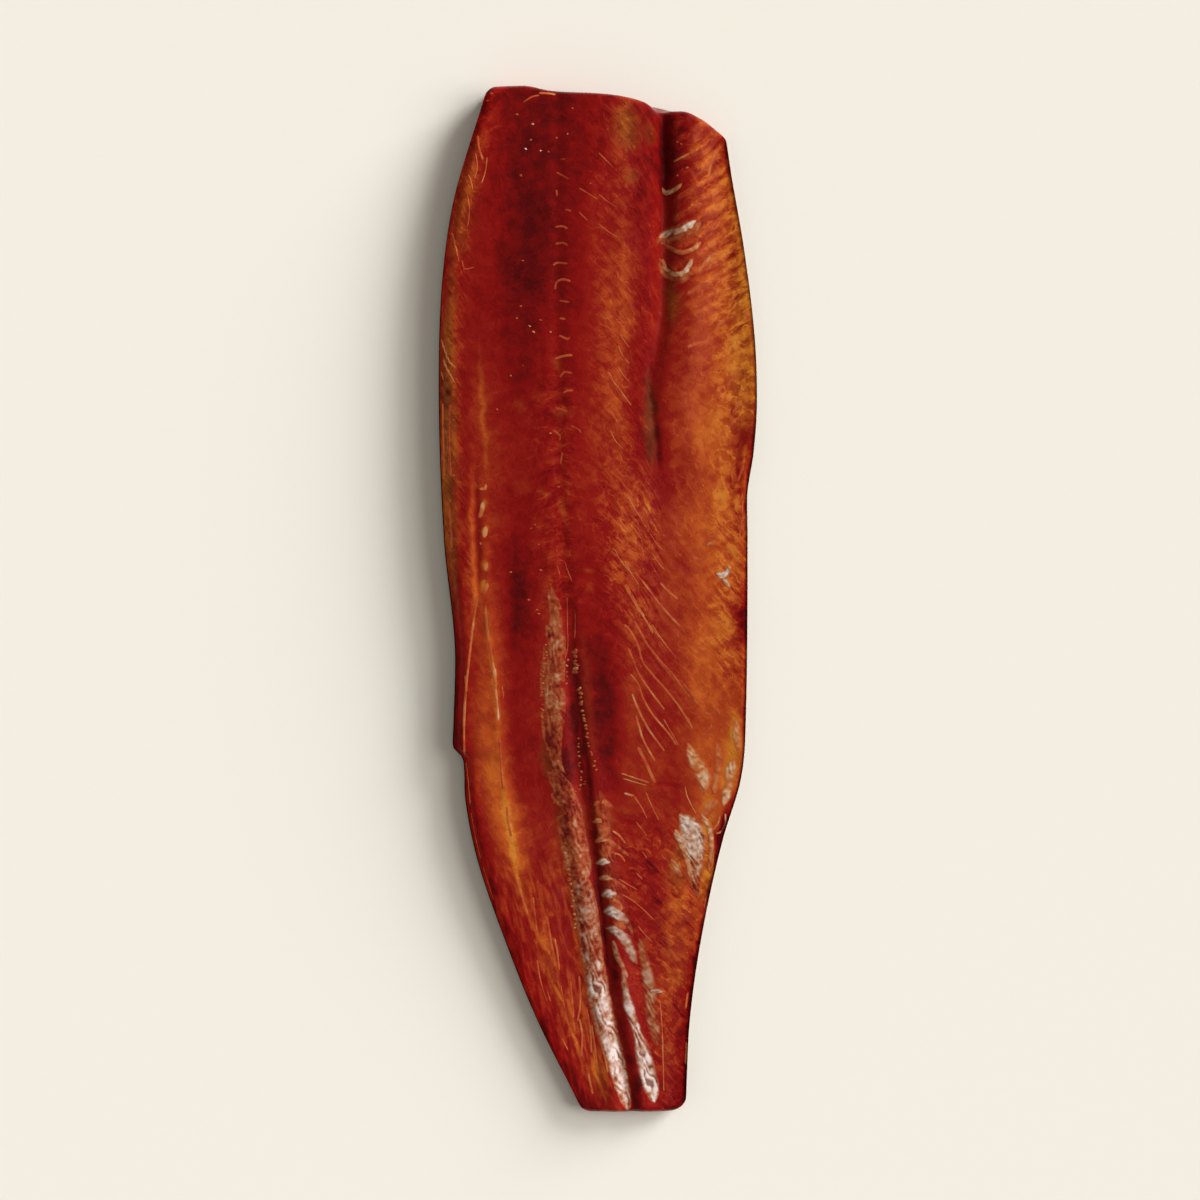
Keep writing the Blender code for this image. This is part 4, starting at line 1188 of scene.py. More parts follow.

# %% [markdown]
# ## Dried film, with painted glints
#
# Brine draws protein out of the cut flesh, and in the smoker it dries to a film. Over the tail it is thick
# and wrinkled like the skin on boiled milk, and greyish white: partly its own pale colour, partly painted
# sheen, the gleam of the wet film put into the colour. Up the bone line it thins out to a brown glaze with
# holes in it. The white glints in the folds at the head and on the ripples are painted highlights, laid as
# short bands of the same kind. The wrinkles could come from a noise, but real ones run in families, side
# by side. So they are a wave across the band, bent by a random field, and they shape the mesh and the
# colour alike: whiter on the crests as painted highlight, darker in the furrows as painted shade.

# %% Where the film and the painted glints lie
# Cream from 0 to 1, and (x, y, half width in mm, white) points.
FILMS_AND_GLINTS = (
    # the strip beside the bone line, from the waist to the tail cut: brown film, greyish white over the
    # tail, where its white is partly painted sheen
    (0.35, (
        (-24, 9, 2, 0.36), (-22.5, -2, 4, 0.42), (-21.5, -14, 6, 0.44), (-22, -27, 7, 0.46),
        (-23, -40, 7.6, 0.5), (-22.8, -53, 7.6, 0.48), (-23, -66, 6.4, 0.38), (-23, -76, 5.2, 0.34),
        (-21.5, -86, 5, 0.32), (-18, -97, 7, 0.33), (-14.5, -108, 8.4, 0.34), (-12.4, -120, 8.4, 0.36),
        (-10, -134, 8.4, 0.44), (-8.4, -144, 8, 0.5))),
    (0.05, (
        (-9.4, -138, 6, 0.44), (-6.8, -153, 7.4, 0.5), (-4.5, -168, 7, 0.56), (-2.5, -183, 6.6, 0.63),
        (0.3, -199, 6.8, 0.74), (3, -213, 6.6, 0.84), (6.8, -226, 5.8, 0.88), (10.5, -240, 5, 0.9),
        (13.4, -251, 4, 0.85), (15.6, -259.5, 3, 0.7))),
    # scraps on the belly side of the bone line, the ripples between them and two strips that run on to the
    # tail cut; the white of the ripples and strips is partly painted highlight
    (0.6, (
        (1, -96, 1.6, 0.24), (1.6, -106, 3.6, 0.28), (3, -118, 4.4, 0.28), (5, -130, 4.8, 0.3),
        (7, -141, 4.8, 0.3), (9, -152, 4.6, 0.32), (11, -163, 4.2, 0.32), (13.6, -176, 2.2, 0.3))),
    (0.7, ((-3, -104, 1.4, 0.4), (2, -102, 2.2, 0.5), (8, -105.4, 1.4, 0.3))),
    (0.7, ((-3, -112.5, 1.4, 0.45), (0.5, -111.4, 2.2, 0.6), (4, -113, 1.2, 0.4))),
    (0.6, ((-2, -122.6, 1.6, 0.4), (2.4, -121, 2.4, 0.6), (9, -124.4, 1.6, 0.4), (16, -130, 1, 0.3))),
    (0.3, ((-1.4, -133.4, 1.8, 0.55), (3.5, -132.2, 2.6, 0.9), (7, -134, 1.8, 0.5))),
    (0.5, ((0, -141.2, 1.4, 0.45), (4, -140.4, 2, 0.65), (9, -142.4, 1.4, 0.45), (15, -147, 1.2, 0.35))),
    (0.2, ((1, -150, 2, 0.5), (6, -148.4, 3.4, 0.92), (10.6, -151, 2.2, 0.55))),
    (0.1, ((2, -158, 2, 0.55), (6.4, -157.4, 3.8, 0.9), (11, -160, 3.4, 0.8), (15.4, -165, 2, 0.5),
           (18, -171, 1.2, 0.35))),
    (0.05, ((3.4, -166, 1.8, 0.6), (9, -167.4, 3, 0.8), (13.5, -172, 3.4, 0.78), (16.6, -178, 3, 0.65),
            (19.6, -186, 1.8, 0.5))),
    (0.3, ((7.5, -172, 1.4, 0.6), (9.5, -180, 2, 0.62), (12.4, -186, 1.8, 0.6), (15, -192, 1.2, 0.5))),
    (0.1, (
        (12.4, -187, 1.4, 0.55), (13.4, -194, 2, 0.6), (14.2, -200, 2.2, 0.75), (15.6, -206, 3.2, 0.88),
        (17.8, -213, 2.8, 0.75), (20, -219, 2.8, 0.75), (21.8, -226, 4.2, 0.92), (24.4, -237, 5.2, 0.97),
        (27, -247, 4.6, 0.98), (28.8, -255.5, 3, 0.9))),
    (0.3, (
        (20.8, -171, 1.8, 0.45), (23, -180, 2.8, 0.5), (24.6, -188, 3.6, 0.6), (26, -196, 4, 0.6),
        (26.8, -204, 3.8, 0.56), (27.4, -212, 4, 0.6), (28.8, -219, 3.2, 0.56), (30, -227, 2, 0.5))),
    (0.2, ((26, -198, 1.2, 0.7), (30, -198.5, 1.4, 0.75), (33.4, -199, 0.9, 0.6))),
    # belly edge of the tail: tan film whose cream-white lines are painted highlights
    (0.35, ((41, -108, 3, 0.85), (45.5, -114, 6.4, 0.95), (48, -121, 7.6, 0.85), (49, -129, 6.4, 0.75),
            (49.6, -136, 4.4, 0.6), (49.6, -144, 3, 0.5), (51.4, -152, 2, 0.4))),
    (0.6, ((39, -116, 1.4, 0.6), (43, -125, 2.2, 0.7), (46, -134, 2, 0.6), (47, -144, 1.4, 0.5))),
    (0.7, ((52, -108, 1.2, 0.6), (56.5, -116, 1.8, 0.75), (57.6, -126, 1.6, 0.6), (56, -138, 1.2, 0.5))),
    (0.5, ((38.5, -117.5, 1.8, 0.6), (41, -121, 2, 0.7), (44, -124, 1.4, 0.6))),
    (0.5, ((37, -131, 1.8, 0.5), (40, -136, 2.2, 0.6), (42.5, -141, 1.6, 0.5))),
    # waist, belly edge: cream curd of fat, its brightest spots partly painted glints
    (0.8, ((45.4, -72, 2, 0.6), (48, -79, 3.6, 0.65), (51, -85, 4.8, 0.64), (53.6, -90, 4.6, 0.66),
           (54, -95, 3, 0.6), (52.6, -99.5, 1.8, 0.5))),
    (0.95, ((70, -60, 1.6, 0.5), (70.6, -68, 2.8, 0.65), (71, -77, 1.8, 0.5))),
    (0.9, ((69.8, -80, 2, 0.5), (67.6, -86, 3.6, 0.75), (66.4, -93, 3, 0.6), (65.2, -99, 3, 0.75),
           (63.6, -105, 1.8, 0.5))),
    (0.9, ((60, -72, 1.6, 0.45), (61.4, -80, 2.4, 0.5), (60, -90, 2.2, 0.5), (58.6, -99, 1.6, 0.45))),
    (0.8, ((61.6, -101, 2.2, 0.5), (56, -106, 3.6, 0.5), (52.4, -113.5, 2.2, 0.45))),
    # painted highlights: glints of the folds at the head, each on a brown halo
    (0.6, ((29, 181, 3, 0.3), (36, 184.6, 5, 0.4), (45, 187.4, 5, 0.4), (54, 192, 3, 0.3))),
    (0.6, ((31, 174, 2.6, 0.3), (35, 166, 3.6, 0.4), (41.6, 163.4, 4, 0.4), (49, 169, 3, 0.3))),
    (0.6, ((30.4, 183.6, 1.8, 0.6), (36, 186, 2.6, 0.85), (41, 187, 2.2, 0.75), (45, 188.6, 2.6, 1.0),
           (50, 192.4, 1.4, 0.8))),
    (0.8, ((32.6, 173.4, 1.2, 0.5), (34.4, 168, 1.7, 0.65), (38, 165.2, 1.7, 0.7), (41.4, 164.8, 2, 0.85),
           (44.6, 166.8, 2, 0.85), (47.8, 173, 1.2, 0.6))),
    (0.8, ((32.4, 209.6, 1.1, 0.5), (34.6, 206.6, 1.7, 0.75), (38.6, 207.8, 1.6, 0.7),
           (42.6, 211, 1.0, 0.6))),
    (0.9, ((34, 180, 1.2, 0.4), (42, 176, 1.6, 0.5), (48.5, 178, 1.7, 0.65), (52.4, 181.8, 1.0, 0.5))),
    (0.9, ((52, 168, 1.0, 0.5), (56, 173, 1.6, 0.6), (60, 177, 1.0, 0.5))),
    # cream glints by the belly edge: painted highlights
    (0.4, ((59.6, 13.8, 1.4, 0.8), (63, 12.6, 2.4, 0.95), (65.4, 14, 2, 0.9), (66.8, 17.6, 1.2, 0.8))),
    (0.5, ((63.2, 11.4, 1.2, 0.7), (65, 9, 1.7, 0.8), (67, 6.6, 1.2, 0.7))),
    (0.7, ((54.6, 27.8, 1.1, 0.5), (57, 28.6, 1.5, 0.6), (59.4, 28.6, 1.0, 0.5))),
)
print(f"{len(FILMS_AND_GLINTS)} pieces of film")

# %% Dried film and painted glints
WRINKLE = 2.8                             # mm from crest to crest
FILM_STEP, FILM_LIFT = 0.48, 0.3          # mm


def wrinkles(reach, run):
    """Wrinkles: sin(2 pi (slant run + 0.85 reach + swirl) / spacing), fading here and there.

    They run along the long bands, a little aslant, and lean across the short ones.
    """
    slant = 0.6 - 0.35 * ramp(run.max(), 55, 70)
    swirl = 1.9 * wander(reach, 0.5 * run, 4, 61) + 0.8 * wander(reach, 0.7 * run, 2.0, 64)
    wave = np.sin(2 * np.pi * (slant * run + 0.85 * reach + swirl) / WRINKLE)
    fading = 0.65 + 0.85 * wander(reach, 0.7 * run, 4, 62)
    return np.clip(wave * fading + 0.45 * wander(reach, run, 1.6, 67), -1, 1)


def wrinkled(x, y, rim, reach, run, white, soft):
    """Look of film: wrinkles, and where it is thin, weaker wrinkles and slanting holes.

    White is painted higher on the crests and lower in the furrows, as painted highlight and painted shade
    of the wrinkles, and falls towards the rim, with patches in it. The long strip is holed towards the
    head, and so is any film too thin to hold together.
    """
    thin = 1 - ramp(white, 0.5, 0.75)
    fold = wrinkles(reach, run) * (1 - 0.4 * thin)
    holes = ramp(wander((x + y) / 1.4, (x - y) / 3, 3.5, 69), 0.1, 0.4)
    holes *= np.maximum(0.45 * ramp(y, -120, -95) * (run.max() > 60), white < 0.34)
    rim = rim - 0.7 * thin * holes
    patchy = 0.2 * wander(reach, run, 4.2, 65) + 0.1 * wander(reach, run, 1.5, 66)
    to_rim = 0.3 * soft * (1 - ramp(rim, 0.1, 0.7))
    # painted highlight and painted shade: the white follows the fold, up on the crests and down in the
    # furrows
    return fold, thin, rim, white - 0.1 - 0.04 * thin + 0.22 * fold + patchy - to_rim


def film_softness(width):
    """Narrow pieces of film fade out, wide ones end at a rim."""
    return 0.2 + 0.5 * (1 - ramp(width, 4.5, 7))


films_and_glints = lay_bands("dried_film_and_glints", FILMS_AND_GLINTS, FILM_STEP, FILM_LIFT, film_softness, wrinkled)

# %% [markdown]
# ## Beads of fat
#
# As the side warms in the smoker, fat and oil sweat out through the cut. They set as beads a
# millimetre or two across, single on the loin and strung along the bone line. Small spheres
# would stand on the flesh like shot. A bead that has wetted the surface is a flat dome, so
# each is a band that is hardly longer than it is wide, with a size and a lean of its own.

# %% Where the beads sit
# White and (x, y) place of each single bead.
BEADS = (
    (0.95, -36.5, 227.5), (0.5, -34, 232), (0.9, -29, 226.5), (0.4, -25, 226), (0.7, -33, 240),
    (0.5, -15.5, 235), (0.3, -21, 233), (0.4, -41, 245), (0.3, -13, 248), (0.5, -38, 171),
    (0.3, -39, 214), (0.8, -34.5, 138), (0.7, -32.5, 135), (0.6, -24, 135), (0.5, -41, 142),
    (0.3, -39, 148), (0.5, -29, 141), (0.4, -38, 118), (0.5, -44, 113), (0.6, -44, 14),
    (0.6, -30, 28), (0.5, -29, 15), (0.4, -35, 0), (0.5, -30, -7), (0.5, 40, 232), (0.5, 42, 231),
    (0.6, 45, 219), (0.4, 40, 215), (0.6, -24, 84), (0.4, -51, 96), (0.5, -26, -28),
    (0.7, -12, -28), (0.6, -16, -33), (0.4, -56, 252.5), (0.3, -54, 256), (0.4, 14, 251),
    (0.4, 16, 238), (0.4, 27, 236), (0.4, -20, 57), (0.4, -34, 36), (0.4, -32, 38), (0.3, -4, 210),
    (0.6, 53, 58), (0.4, 52, 205), (0.4, 47, 200), (0.4, 34, 180), (0.4, -31, -5),
)


def row_of_beads(points, spacing, white, size):
    """Beads strung along a line, with gaps as they come: (white, x, y, size) of each."""
    corner, run = measured(points)
    rng = np.random.default_rng(int(run[-1] * 10))
    at = np.arange(0, run[-1], spacing)
    at = at + rng.uniform(-0.3, 0.3, len(at)) * spacing
    x = np.interp(at, run, corner[:, 0]) + rng.normal(0, 0.35, len(at))
    y = np.interp(at, run, corner[:, 1])
    return [(white * rng.uniform(0.6, 1.2), bead_x, bead_y, size) for bead_x, bead_y in zip(x, y)]


STRUNG = (
    row_of_beads(((-11.8, -25), (-11.6, -30), (-11.4, -37)), 1.9, 0.55, 1.6)
    + row_of_beads(((-9.7, -44), (-9, -49), (-8.2, -54.5)), 1.8, 0.5, 1.5)
    + row_of_beads(((-8, -56), (-7, -60), (-6.4, -65)), 1.8, 0.5, 1.4)
    + row_of_beads(((-6.2, -67), (-4.4, -75), (-1, -87)), 2.4, 0.5, 1.1)
    + row_of_beads(((-10, -70), (-9.6, -78), (-9, -88), (-9, -95)), 2.4, 0.6, 1.0)
    + row_of_beads(((-15.4, -30), (-15.4, -38), (-15, -44)), 3.0, 0.5, 1.0)
    # light dots along the left rim of the tail strip: beads, partly painted glints
    + row_of_beads(((-26, -22), (-27.5, -33), (-28.6, -44), (-28, -60)), 3.4, 0.6, 1.2)
    + row_of_beads(((-17, -128), (-14.5, -142), (-13, -152), (-11, -168)), 2.8, 0.6, 1.3)
    + row_of_beads(((-16, -96), (-10, -97), (-5, -90)), 2.6, 0.5, 1.0)
)
print(f"{len(BEADS)} single beads and {len(STRUNG)} strung ones")

# %% Beads of fat
BEAD_STEP, BEAD_LIFT = 0.3, 0.35          # mm
BEAD_CREAM = 0.7


def bead_band(white, x, y, size):
    """A bead as a very short band, with its own width, length and lean."""
    rng = np.random.default_rng(int(abs(x * 31 + y * 17)))
    half = size * rng.uniform(0.6, 0.9)
    lean = size * rng.uniform(-0.5, 0.5)
    length = size * rng.uniform(0.6, 1.0)
    return BEAD_CREAM, ((x - length, y - lean, half, white), (x + length, y + lean, half, white))


beads = lay_bands("fat_beads", [
    bead_band(*bead) for bead in [(white, x, y, 1.0) for white, x, y in BEADS] + STRUNG
], BEAD_STEP, BEAD_LIFT, lambda width: 0.6)

# %% [markdown]
# ## Materials
#
# Two finishes cover everything: the flesh with what has dried on it, and the skin. Both
# could be painted as images, but then they would have one fineness and a seam at every UV
# border. Node patterns on the object's own coordinates have neither. What follows the
# anatomy comes from the numbers stored at the points of each piece, and only what is finer
# than the mesh is made by noise. Every pattern's size is a real size in millimetres.

# %% Material helpers


def linear(code):
    """Linear RGBA of an sRGB hex code."""
    value = np.array([int(code[k:k + 2], 16) for k in (0, 2, 4)]) / 255
    value = np.where(value <= 0.04045, value / 12.92, ((value + 0.055) / 1.055) ** 2.4)
    return (*value.tolist(), 1.0)


def add(tree, kind, *inputs, out=0, stops=(), **settings):
    """Adds a shader node and gives back one of its outputs.

    Inputs are given in the node's own order, or in one dict by name or number. Each is a
    number, a colour, or another node's output, which is linked. The stops of a colour ramp
    are (place, hex) pairs.
    """
    made = tree.nodes.new("ShaderNode" + kind)
    for name, value in settings.items():
        setattr(made, name, value)
    given = inputs[0] if inputs and isinstance(inputs[0], dict) else dict(enumerate(inputs))
    for name, value in given.items():
        if isinstance(value, bpy.types.NodeSocket):
            tree.links.new(value, made.inputs[name])
        else:
            made.inputs[name].default_value = value
    if stops:
        elements = made.color_ramp.elements
        while len(elements) < len(stops):
            elements.new(0.5)
        for element, (place, code) in zip(elements, stops):
            element.position = place
            element.color = linear(code)
    return made.outputs[out]


def new_material(name):
    """A material with an empty tree but for its Principled shader, which is returned too."""
    material = bpy.data.materials.new(name)
    material.use_nodes = True
    return material, material.node_tree, material.node_tree.nodes["Principled BSDF"]


def weighted_sum(tree, *terms):
    """Sum of terms. Each is an output, or a (weight, output) pair; a weight may be an output too."""
    total = 0.0
    for term in terms:
        weight, value = term if isinstance(term, tuple) else (1.0, term)
        total = add(tree, "Math", weight, value, total, operation="MULTIPLY_ADD")
    return total


def patches(tree, vector, size, edges, levels=(0.0, 1.0), detail=1.5, distortion=0.0, roughness=0.55):
    """Irregular patches about 'size' mm across: noise, then a smooth step between two edges."""
    lumps = add(tree, "TexNoise", {
        "Vector": vector, "Scale": 1 / (size * MM), "Detail": detail, "Roughness": roughness,
        "Distortion": distortion,
    })
    return add(tree, "MapRange", lumps, *edges, *levels, interpolation_type="SMOOTHSTEP")


def stretched(tree, across, along, ratio):
    """Vector in metres from two lengths in mm, squeezed 'ratio' times along the second."""
    first = add(tree, "Math", across, MM, operation="MULTIPLY")
    second = add(tree, "Math", along, MM / ratio, operation="MULTIPLY")
    return add(tree, "CombineXYZ", first, second)


print("mid grey 808080 in linear light:", np.round(linear("808080")[:3], 3))

# %% [markdown]
# ### The flesh and what dries on it
#
# Cold-smoked salmon is raw muscle, dyed by its own pigment and glazed by salt and smoke: dark, clear reds
# where it is lean, orange and amber where it is fat. The glaze is what makes it gleam. Under it the blocks
# of muscle show as clouds, slanting fibres and torn flecks; the pale flecks also stand in for the glaze's
# small glints, as painted highlights. The protein that dries on top is greyish white where it is thick,
# and tan to brown where it is thin; over the tail its greyish white is partly painted sheen, and the dark
# of its furrows is painted shade.
#
# Flesh, lines, film and beads share one material, because a thin film has no colour of its
# own: it fades into the muscle beneath it. So every piece carries the numbers of the
# muscle, and the bands also carry how white they are and how near their rim is.

# %% Colours of the flesh
FLESH_STOPS = (
    (0.0, "500A0B"), (0.25, "7C0E0C"), (0.4, "861810"), (0.52, "902A13"), (0.66, "A13A18"),
    (0.8, "B24E1C"), (1.0, "C66C28"),
)
OCHRE_STOPS = (
    (0.0, "3E1A0C"), (0.35, "6E3814"), (0.6, "965218"), (0.8, "B87420"), (1.0, "CC8E2C"),
)
# whites of film, lines and beads; the palest also serve as painted sheen, the gleam of the wet film over
# the tail
WHITE_AND_SHEEN_STOPS = (
    (0.0, "4A0E10"), (0.25, "6A1E14"), (0.42, "84442A"), (0.6, "946A58"), (0.8, "A88C82"),
    (1.0, "C6B2AC"),
)
CREAM_STOPS = (
    (0.0, "7A2012"), (0.25, "B04C28"), (0.45, "B46434"), (0.6, "BE7E4E"), (0.8, "CDA684"),
    (1.0, "DECBB6"),
)
# the dark painted into the furrows of the film's wrinkles: painted shade
FURROW_SHADE_COLOUR = "54241A"
TAN = 0.42                                # the place of tan among the whites
print("reds", len(FLESH_STOPS), "ochres", len(OCHRE_STOPS), "whites", len(WHITE_AND_SHEEN_STOPS))

# %% Colour of the muscle
# Sizes in mm. Real fibres are at most a fifth of a millimetre thick and wouldn't show, so
# they are drawn as bundles.
CLOUD, TEAR, FLECK_AND_GLINT, PIT = 11, 4.8, 1.6, 3.6
BUNDLE, LONG_BUNDLE = 4.4, 2.8
THREAD_SPACING, THREAD_WOBBLE, THREAD_PATCH = 5.9, 7, 6
LEAN = 0.27                               # mm sideways for every mm along the tail's fibres


def muscle_colour(tree, read, place):
    """Muscle: its tone with clouds, tears, fibres, threads, pits and pale flecks on it, the flecks partly
    torn muscle and partly painted glints.

    Returns the colour and, for the bumps, the tears, strokes and pits.
    """
    x_mm, y_mm = (
        add(tree, "Math", add(tree, "SeparateXYZ", place, out=axis), 1 / MM, operation="MULTIPLY")
        for axis in "XY"
    )
    leaning = add(tree, "Math", y_mm, LEAN, x_mm, operation="MULTIPLY_ADD")
    clouds = patches(tree, place, CLOUD, (0.3, 0.7), (-1.0, 1.0))
    torn = patches(tree, place, TEAR, (0.4, 0.6), (-1.0, 1.0), 3, 0.3, 0.6)
    # pale flecks: partly torn muscle, partly painted glints of the glaze
    flecks_and_glints = patches(tree, place, FLECK_AND_GLINT, (0.66, 0.76), detail=1)

    # fibres: along the sheets over most of the side, lengthwise at the back of the tail
    by_sheets = add(tree, "TexNoise", {
        "Vector": stretched(tree, read["across_sheets"], x_mm, 2.4), "Scale": 1 / (BUNDLE * MM),
        "Detail": 2, "Roughness": 0.55, "Distortion": 0.3,
    })
    by_length = add(tree, "TexNoise", {
        "Vector": stretched(tree, leaning, y_mm, 4.5), "Scale": 1 / (LONG_BUNDLE * MM),
        "Detail": 1.5, "Roughness": 0.55, "Distortion": 0.5,
    })
    grain = add(tree, "Mix", {0: read["lengthwise"], 2: by_sheets, 3: by_length})
    strokes = add(tree, "MapRange", grain, 0.36, 0.64, -1.0, 1.0, interpolation_type="SMOOTHSTEP")

    # threads: the crests of a wave across the sheets, kept in some places only
    wobble = patches(tree, place, THREAD_WOBBLE, (0.3, 0.7), (-2.0, 2.0), detail=1)
    phase = add(tree, "Math", read["across_sheets"], wobble, operation="ADD")
    phase = add(tree, "Math", phase, 2 * np.pi / THREAD_SPACING, operation="MULTIPLY")
    wave = add(tree, "Math", phase, operation="SINE")
    crests = add(tree, "MapRange", wave, 0.84, 1.0, 0.0, 1.0, interpolation_type="SMOOTHSTEP")
    kept = patches(tree, place, THREAD_PATCH, (0.42, 0.58))
    threads = add(tree, "Math", crests, kept, operation="MULTIPLY")

    # pits: slits between the blocks, where the muscle is torn
    pits = patches(
        tree, stretched(tree, read["across_sheets"], x_mm, 2.0), PIT, (0.68, 0.76),
        detail=0.5, distortion=0.4)
    pits = add(tree, "Math", pits, read["broken"], operation="MULTIPLY")
    ragged = weighted_sum(
        tree, (0.09, torn), (0.09, strokes), (0.18, threads), (-0.24, pits), (0.16, flecks_and_glints))
    streaky = add(tree, "Math", read["lengthwise"], strokes, operation="MULTIPLY")
    tone = weighted_sum(
        tree, read["tone"], (read["broken"], ragged), (0.05, clouds), (0.04, threads),
        (0.018, torn), (0.04, flecks_and_glints), (0.14, streaky))
    red = add(tree, "ValToRGB", tone, stops=FLESH_STOPS)
    brown = add(tree, "ValToRGB", tone, stops=OCHRE_STOPS)
    colour = add(tree, "Mix", {0: read["ochre"], 6: red, 7: brown}, out=2, data_type="RGBA")
    return colour, torn, strokes, pits


print(f"muscle: clouds of {CLOUD} mm, tears of {TEAR} mm, threads {THREAD_SPACING} mm apart")

# %% Colour of what dries on it
RAGGED, GRAIN = 2.4, 1.9                  # mm


def film_and_glint_colour(tree, read, place, torn):
    """Film, lines and beads: whites or creams, tan towards a ragged rim, with furrows darkened as painted
    shade.

    Returns the colour, how far it covers the muscle, and the grains in it. Soft bands have
    no ragged rim and no grains.
    """
    is_film = add(tree, "Math", 1.0, read["soft"], operation="SUBTRACT")
    ragged = patches(tree, place, RAGGED, (0.35, 0.65), (-0.08, 0.08), detail=2)
    inwards = weighted_sum(tree, read["rim"], (is_film, ragged))
    rim_share = add(tree, "MapRange", inwards, 0.15, 0.55, 1.0, 0.0, interpolation_type="SMOOTHSTEP")
    fringe = add(tree, "Math", is_film, rim_share, operation="MULTIPLY")
    to_tan = add(tree, "Math", TAN, read["white"], operation="SUBTRACT")
    grains = patches(tree, place, GRAIN, (0.32, 0.68), (-0.11, 0.11))
    grains = add(tree, "Math", is_film, grains, operation="MULTIPLY")
    white = weighted_sum(tree, read["white"], (fringe, to_tan), grains, (0.05, torn))
    fringe_cream = add(tree, "Math", fringe, 0.55, operation="MULTIPLY")
    share_cream = add(tree, "Math", read["cream"], fringe_cream, operation="MAXIMUM")
    pale = add(tree, "Mix", {
        0: share_cream,
        6: add(tree, "ValToRGB", white, stops=WHITE_AND_SHEEN_STOPS),
        7: add(tree, "ValToRGB", white, stops=CREAM_STOPS),
    }, out=2, data_type="RGBA")
    # painted shade: the furrows of the film's wrinkles are darkened
    furrow = add(tree, "Math", read["furrow"], 0.75, operation="MULTIPLY")
    colour = add(tree, "Mix", {0: furrow, 6: pale, 7: linear(FURROW_SHADE_COLOUR)}, out=2, data_type="RGBA")

    full_at = add(tree, "Math", read["soft"], 0.4, 0.28, operation="MULTIPLY_ADD")
    cover = add(tree, "Math", *(
        add(tree, "MapRange", value, 0.0, end, 0.0, 1.0, interpolation_type="SMOOTHSTEP")
        for value, end in ((inwards, full_at), (read["rim"], 0.05))
    ), operation="MULTIPLY")
    return colour, cover, grains


print(f"film: grains of {GRAIN} mm, a rim ragged every {RAGGED} mm")

# %% Smoked flesh
FLESH_BUMP = 0.15                         # mm


def smoked_flesh():
    """Cold-smoked salmon: mottled red muscle, and the film, tissue and fat that dry on it."""
    material, tree, shader = new_material("smoked_flesh")
    place = add(tree, "TexCoord", out="Object")
    read = {
        name: add(tree, "Attribute", out="Fac", attribute_name=name)
        for name in ("tone", "ochre", "across_sheets", "broken", "lengthwise", "painted_light_balance", "gloss",
                     "white", "cream", "rim", "furrow", "soft")
    }
    muscle, torn, strokes, pits = muscle_colour(tree, read, place)
    film, cover, grains = film_and_glint_colour(tree, read, place, torn)
    colour = add(tree, "Mix", {0: cover, 6: muscle, 7: film}, out=2, data_type="RGBA")
    # painted light: the colour is scaled lighter on the back and darker towards the belly and at its rim
    colour_with_painted_light = add(tree, "VectorMath", {0: colour, "Scale": read["painted_light_balance"]}, operation="SCALE")
    tree.links.new(colour_with_painted_light, shader.inputs["Base Color"])

    # oil makes all of it smooth, and film a little more so
    smooth = add(tree, "MapRange", cover, 0.0, 1.0, 0.24, 0.2, interpolation_type="SMOOTHSTEP")
    tree.links.new(smooth, shader.inputs["Roughness"])
    tree.links.new(read["gloss"], shader.inputs["Specular IOR Level"])
    raised = add(tree, "Math", grains, cover, operation="MULTIPLY")
    fibres = add(tree, "Math", strokes, read["broken"], operation="MULTIPLY")
    height = weighted_sum(tree, (0.3, torn), (3.0, raised), (-0.6, pits), (0.3, fibres))
    bumps = add(tree, "Bump", {"Height": height, "Distance": FLESH_BUMP * MM})
    tree.links.new(bumps, shader.inputs["Normal"])
    print(f"{material.name}: {len(tree.nodes)} nodes")
    return material

# %% [markdown]
# ### The skin
#
# Salmon skin is black-bronze along the back and pales to silver-gold at the belly. Its scales overlap in
# slanting rows, a thread of pores marks the lateral line, and a few round spots lie above it. Smoke
# lacquers it, and it is darker within a few millimetres of its cut rim. The scales could be modelled, but
# they are flatter than a tenth of a millimetre, so cells with a dark rim and a slight bump are enough. The
# cells lie on a grid turned by 45 degrees, in the tape measure's own millimetres, so they keep their size
# where the skin curls up.

# %% Fish skin
SKIN_STOPS = (
    (0.0, "15100C"), (0.3, "2C2014"), (0.5, "523C24"), (0.62, "7A603C"), (0.8, "A48A62"),
    (1.0, "BEA988"),
)
SPOT_COLOUR = "1C0E09"
SCALE_SIZE = 3.4                          # mm, along a slanting row
SPOT_SPACING = 15                         # mm
PORE_SPACING = 4.8                        # mm
SKIN_BUMP = 0.12                          # mm


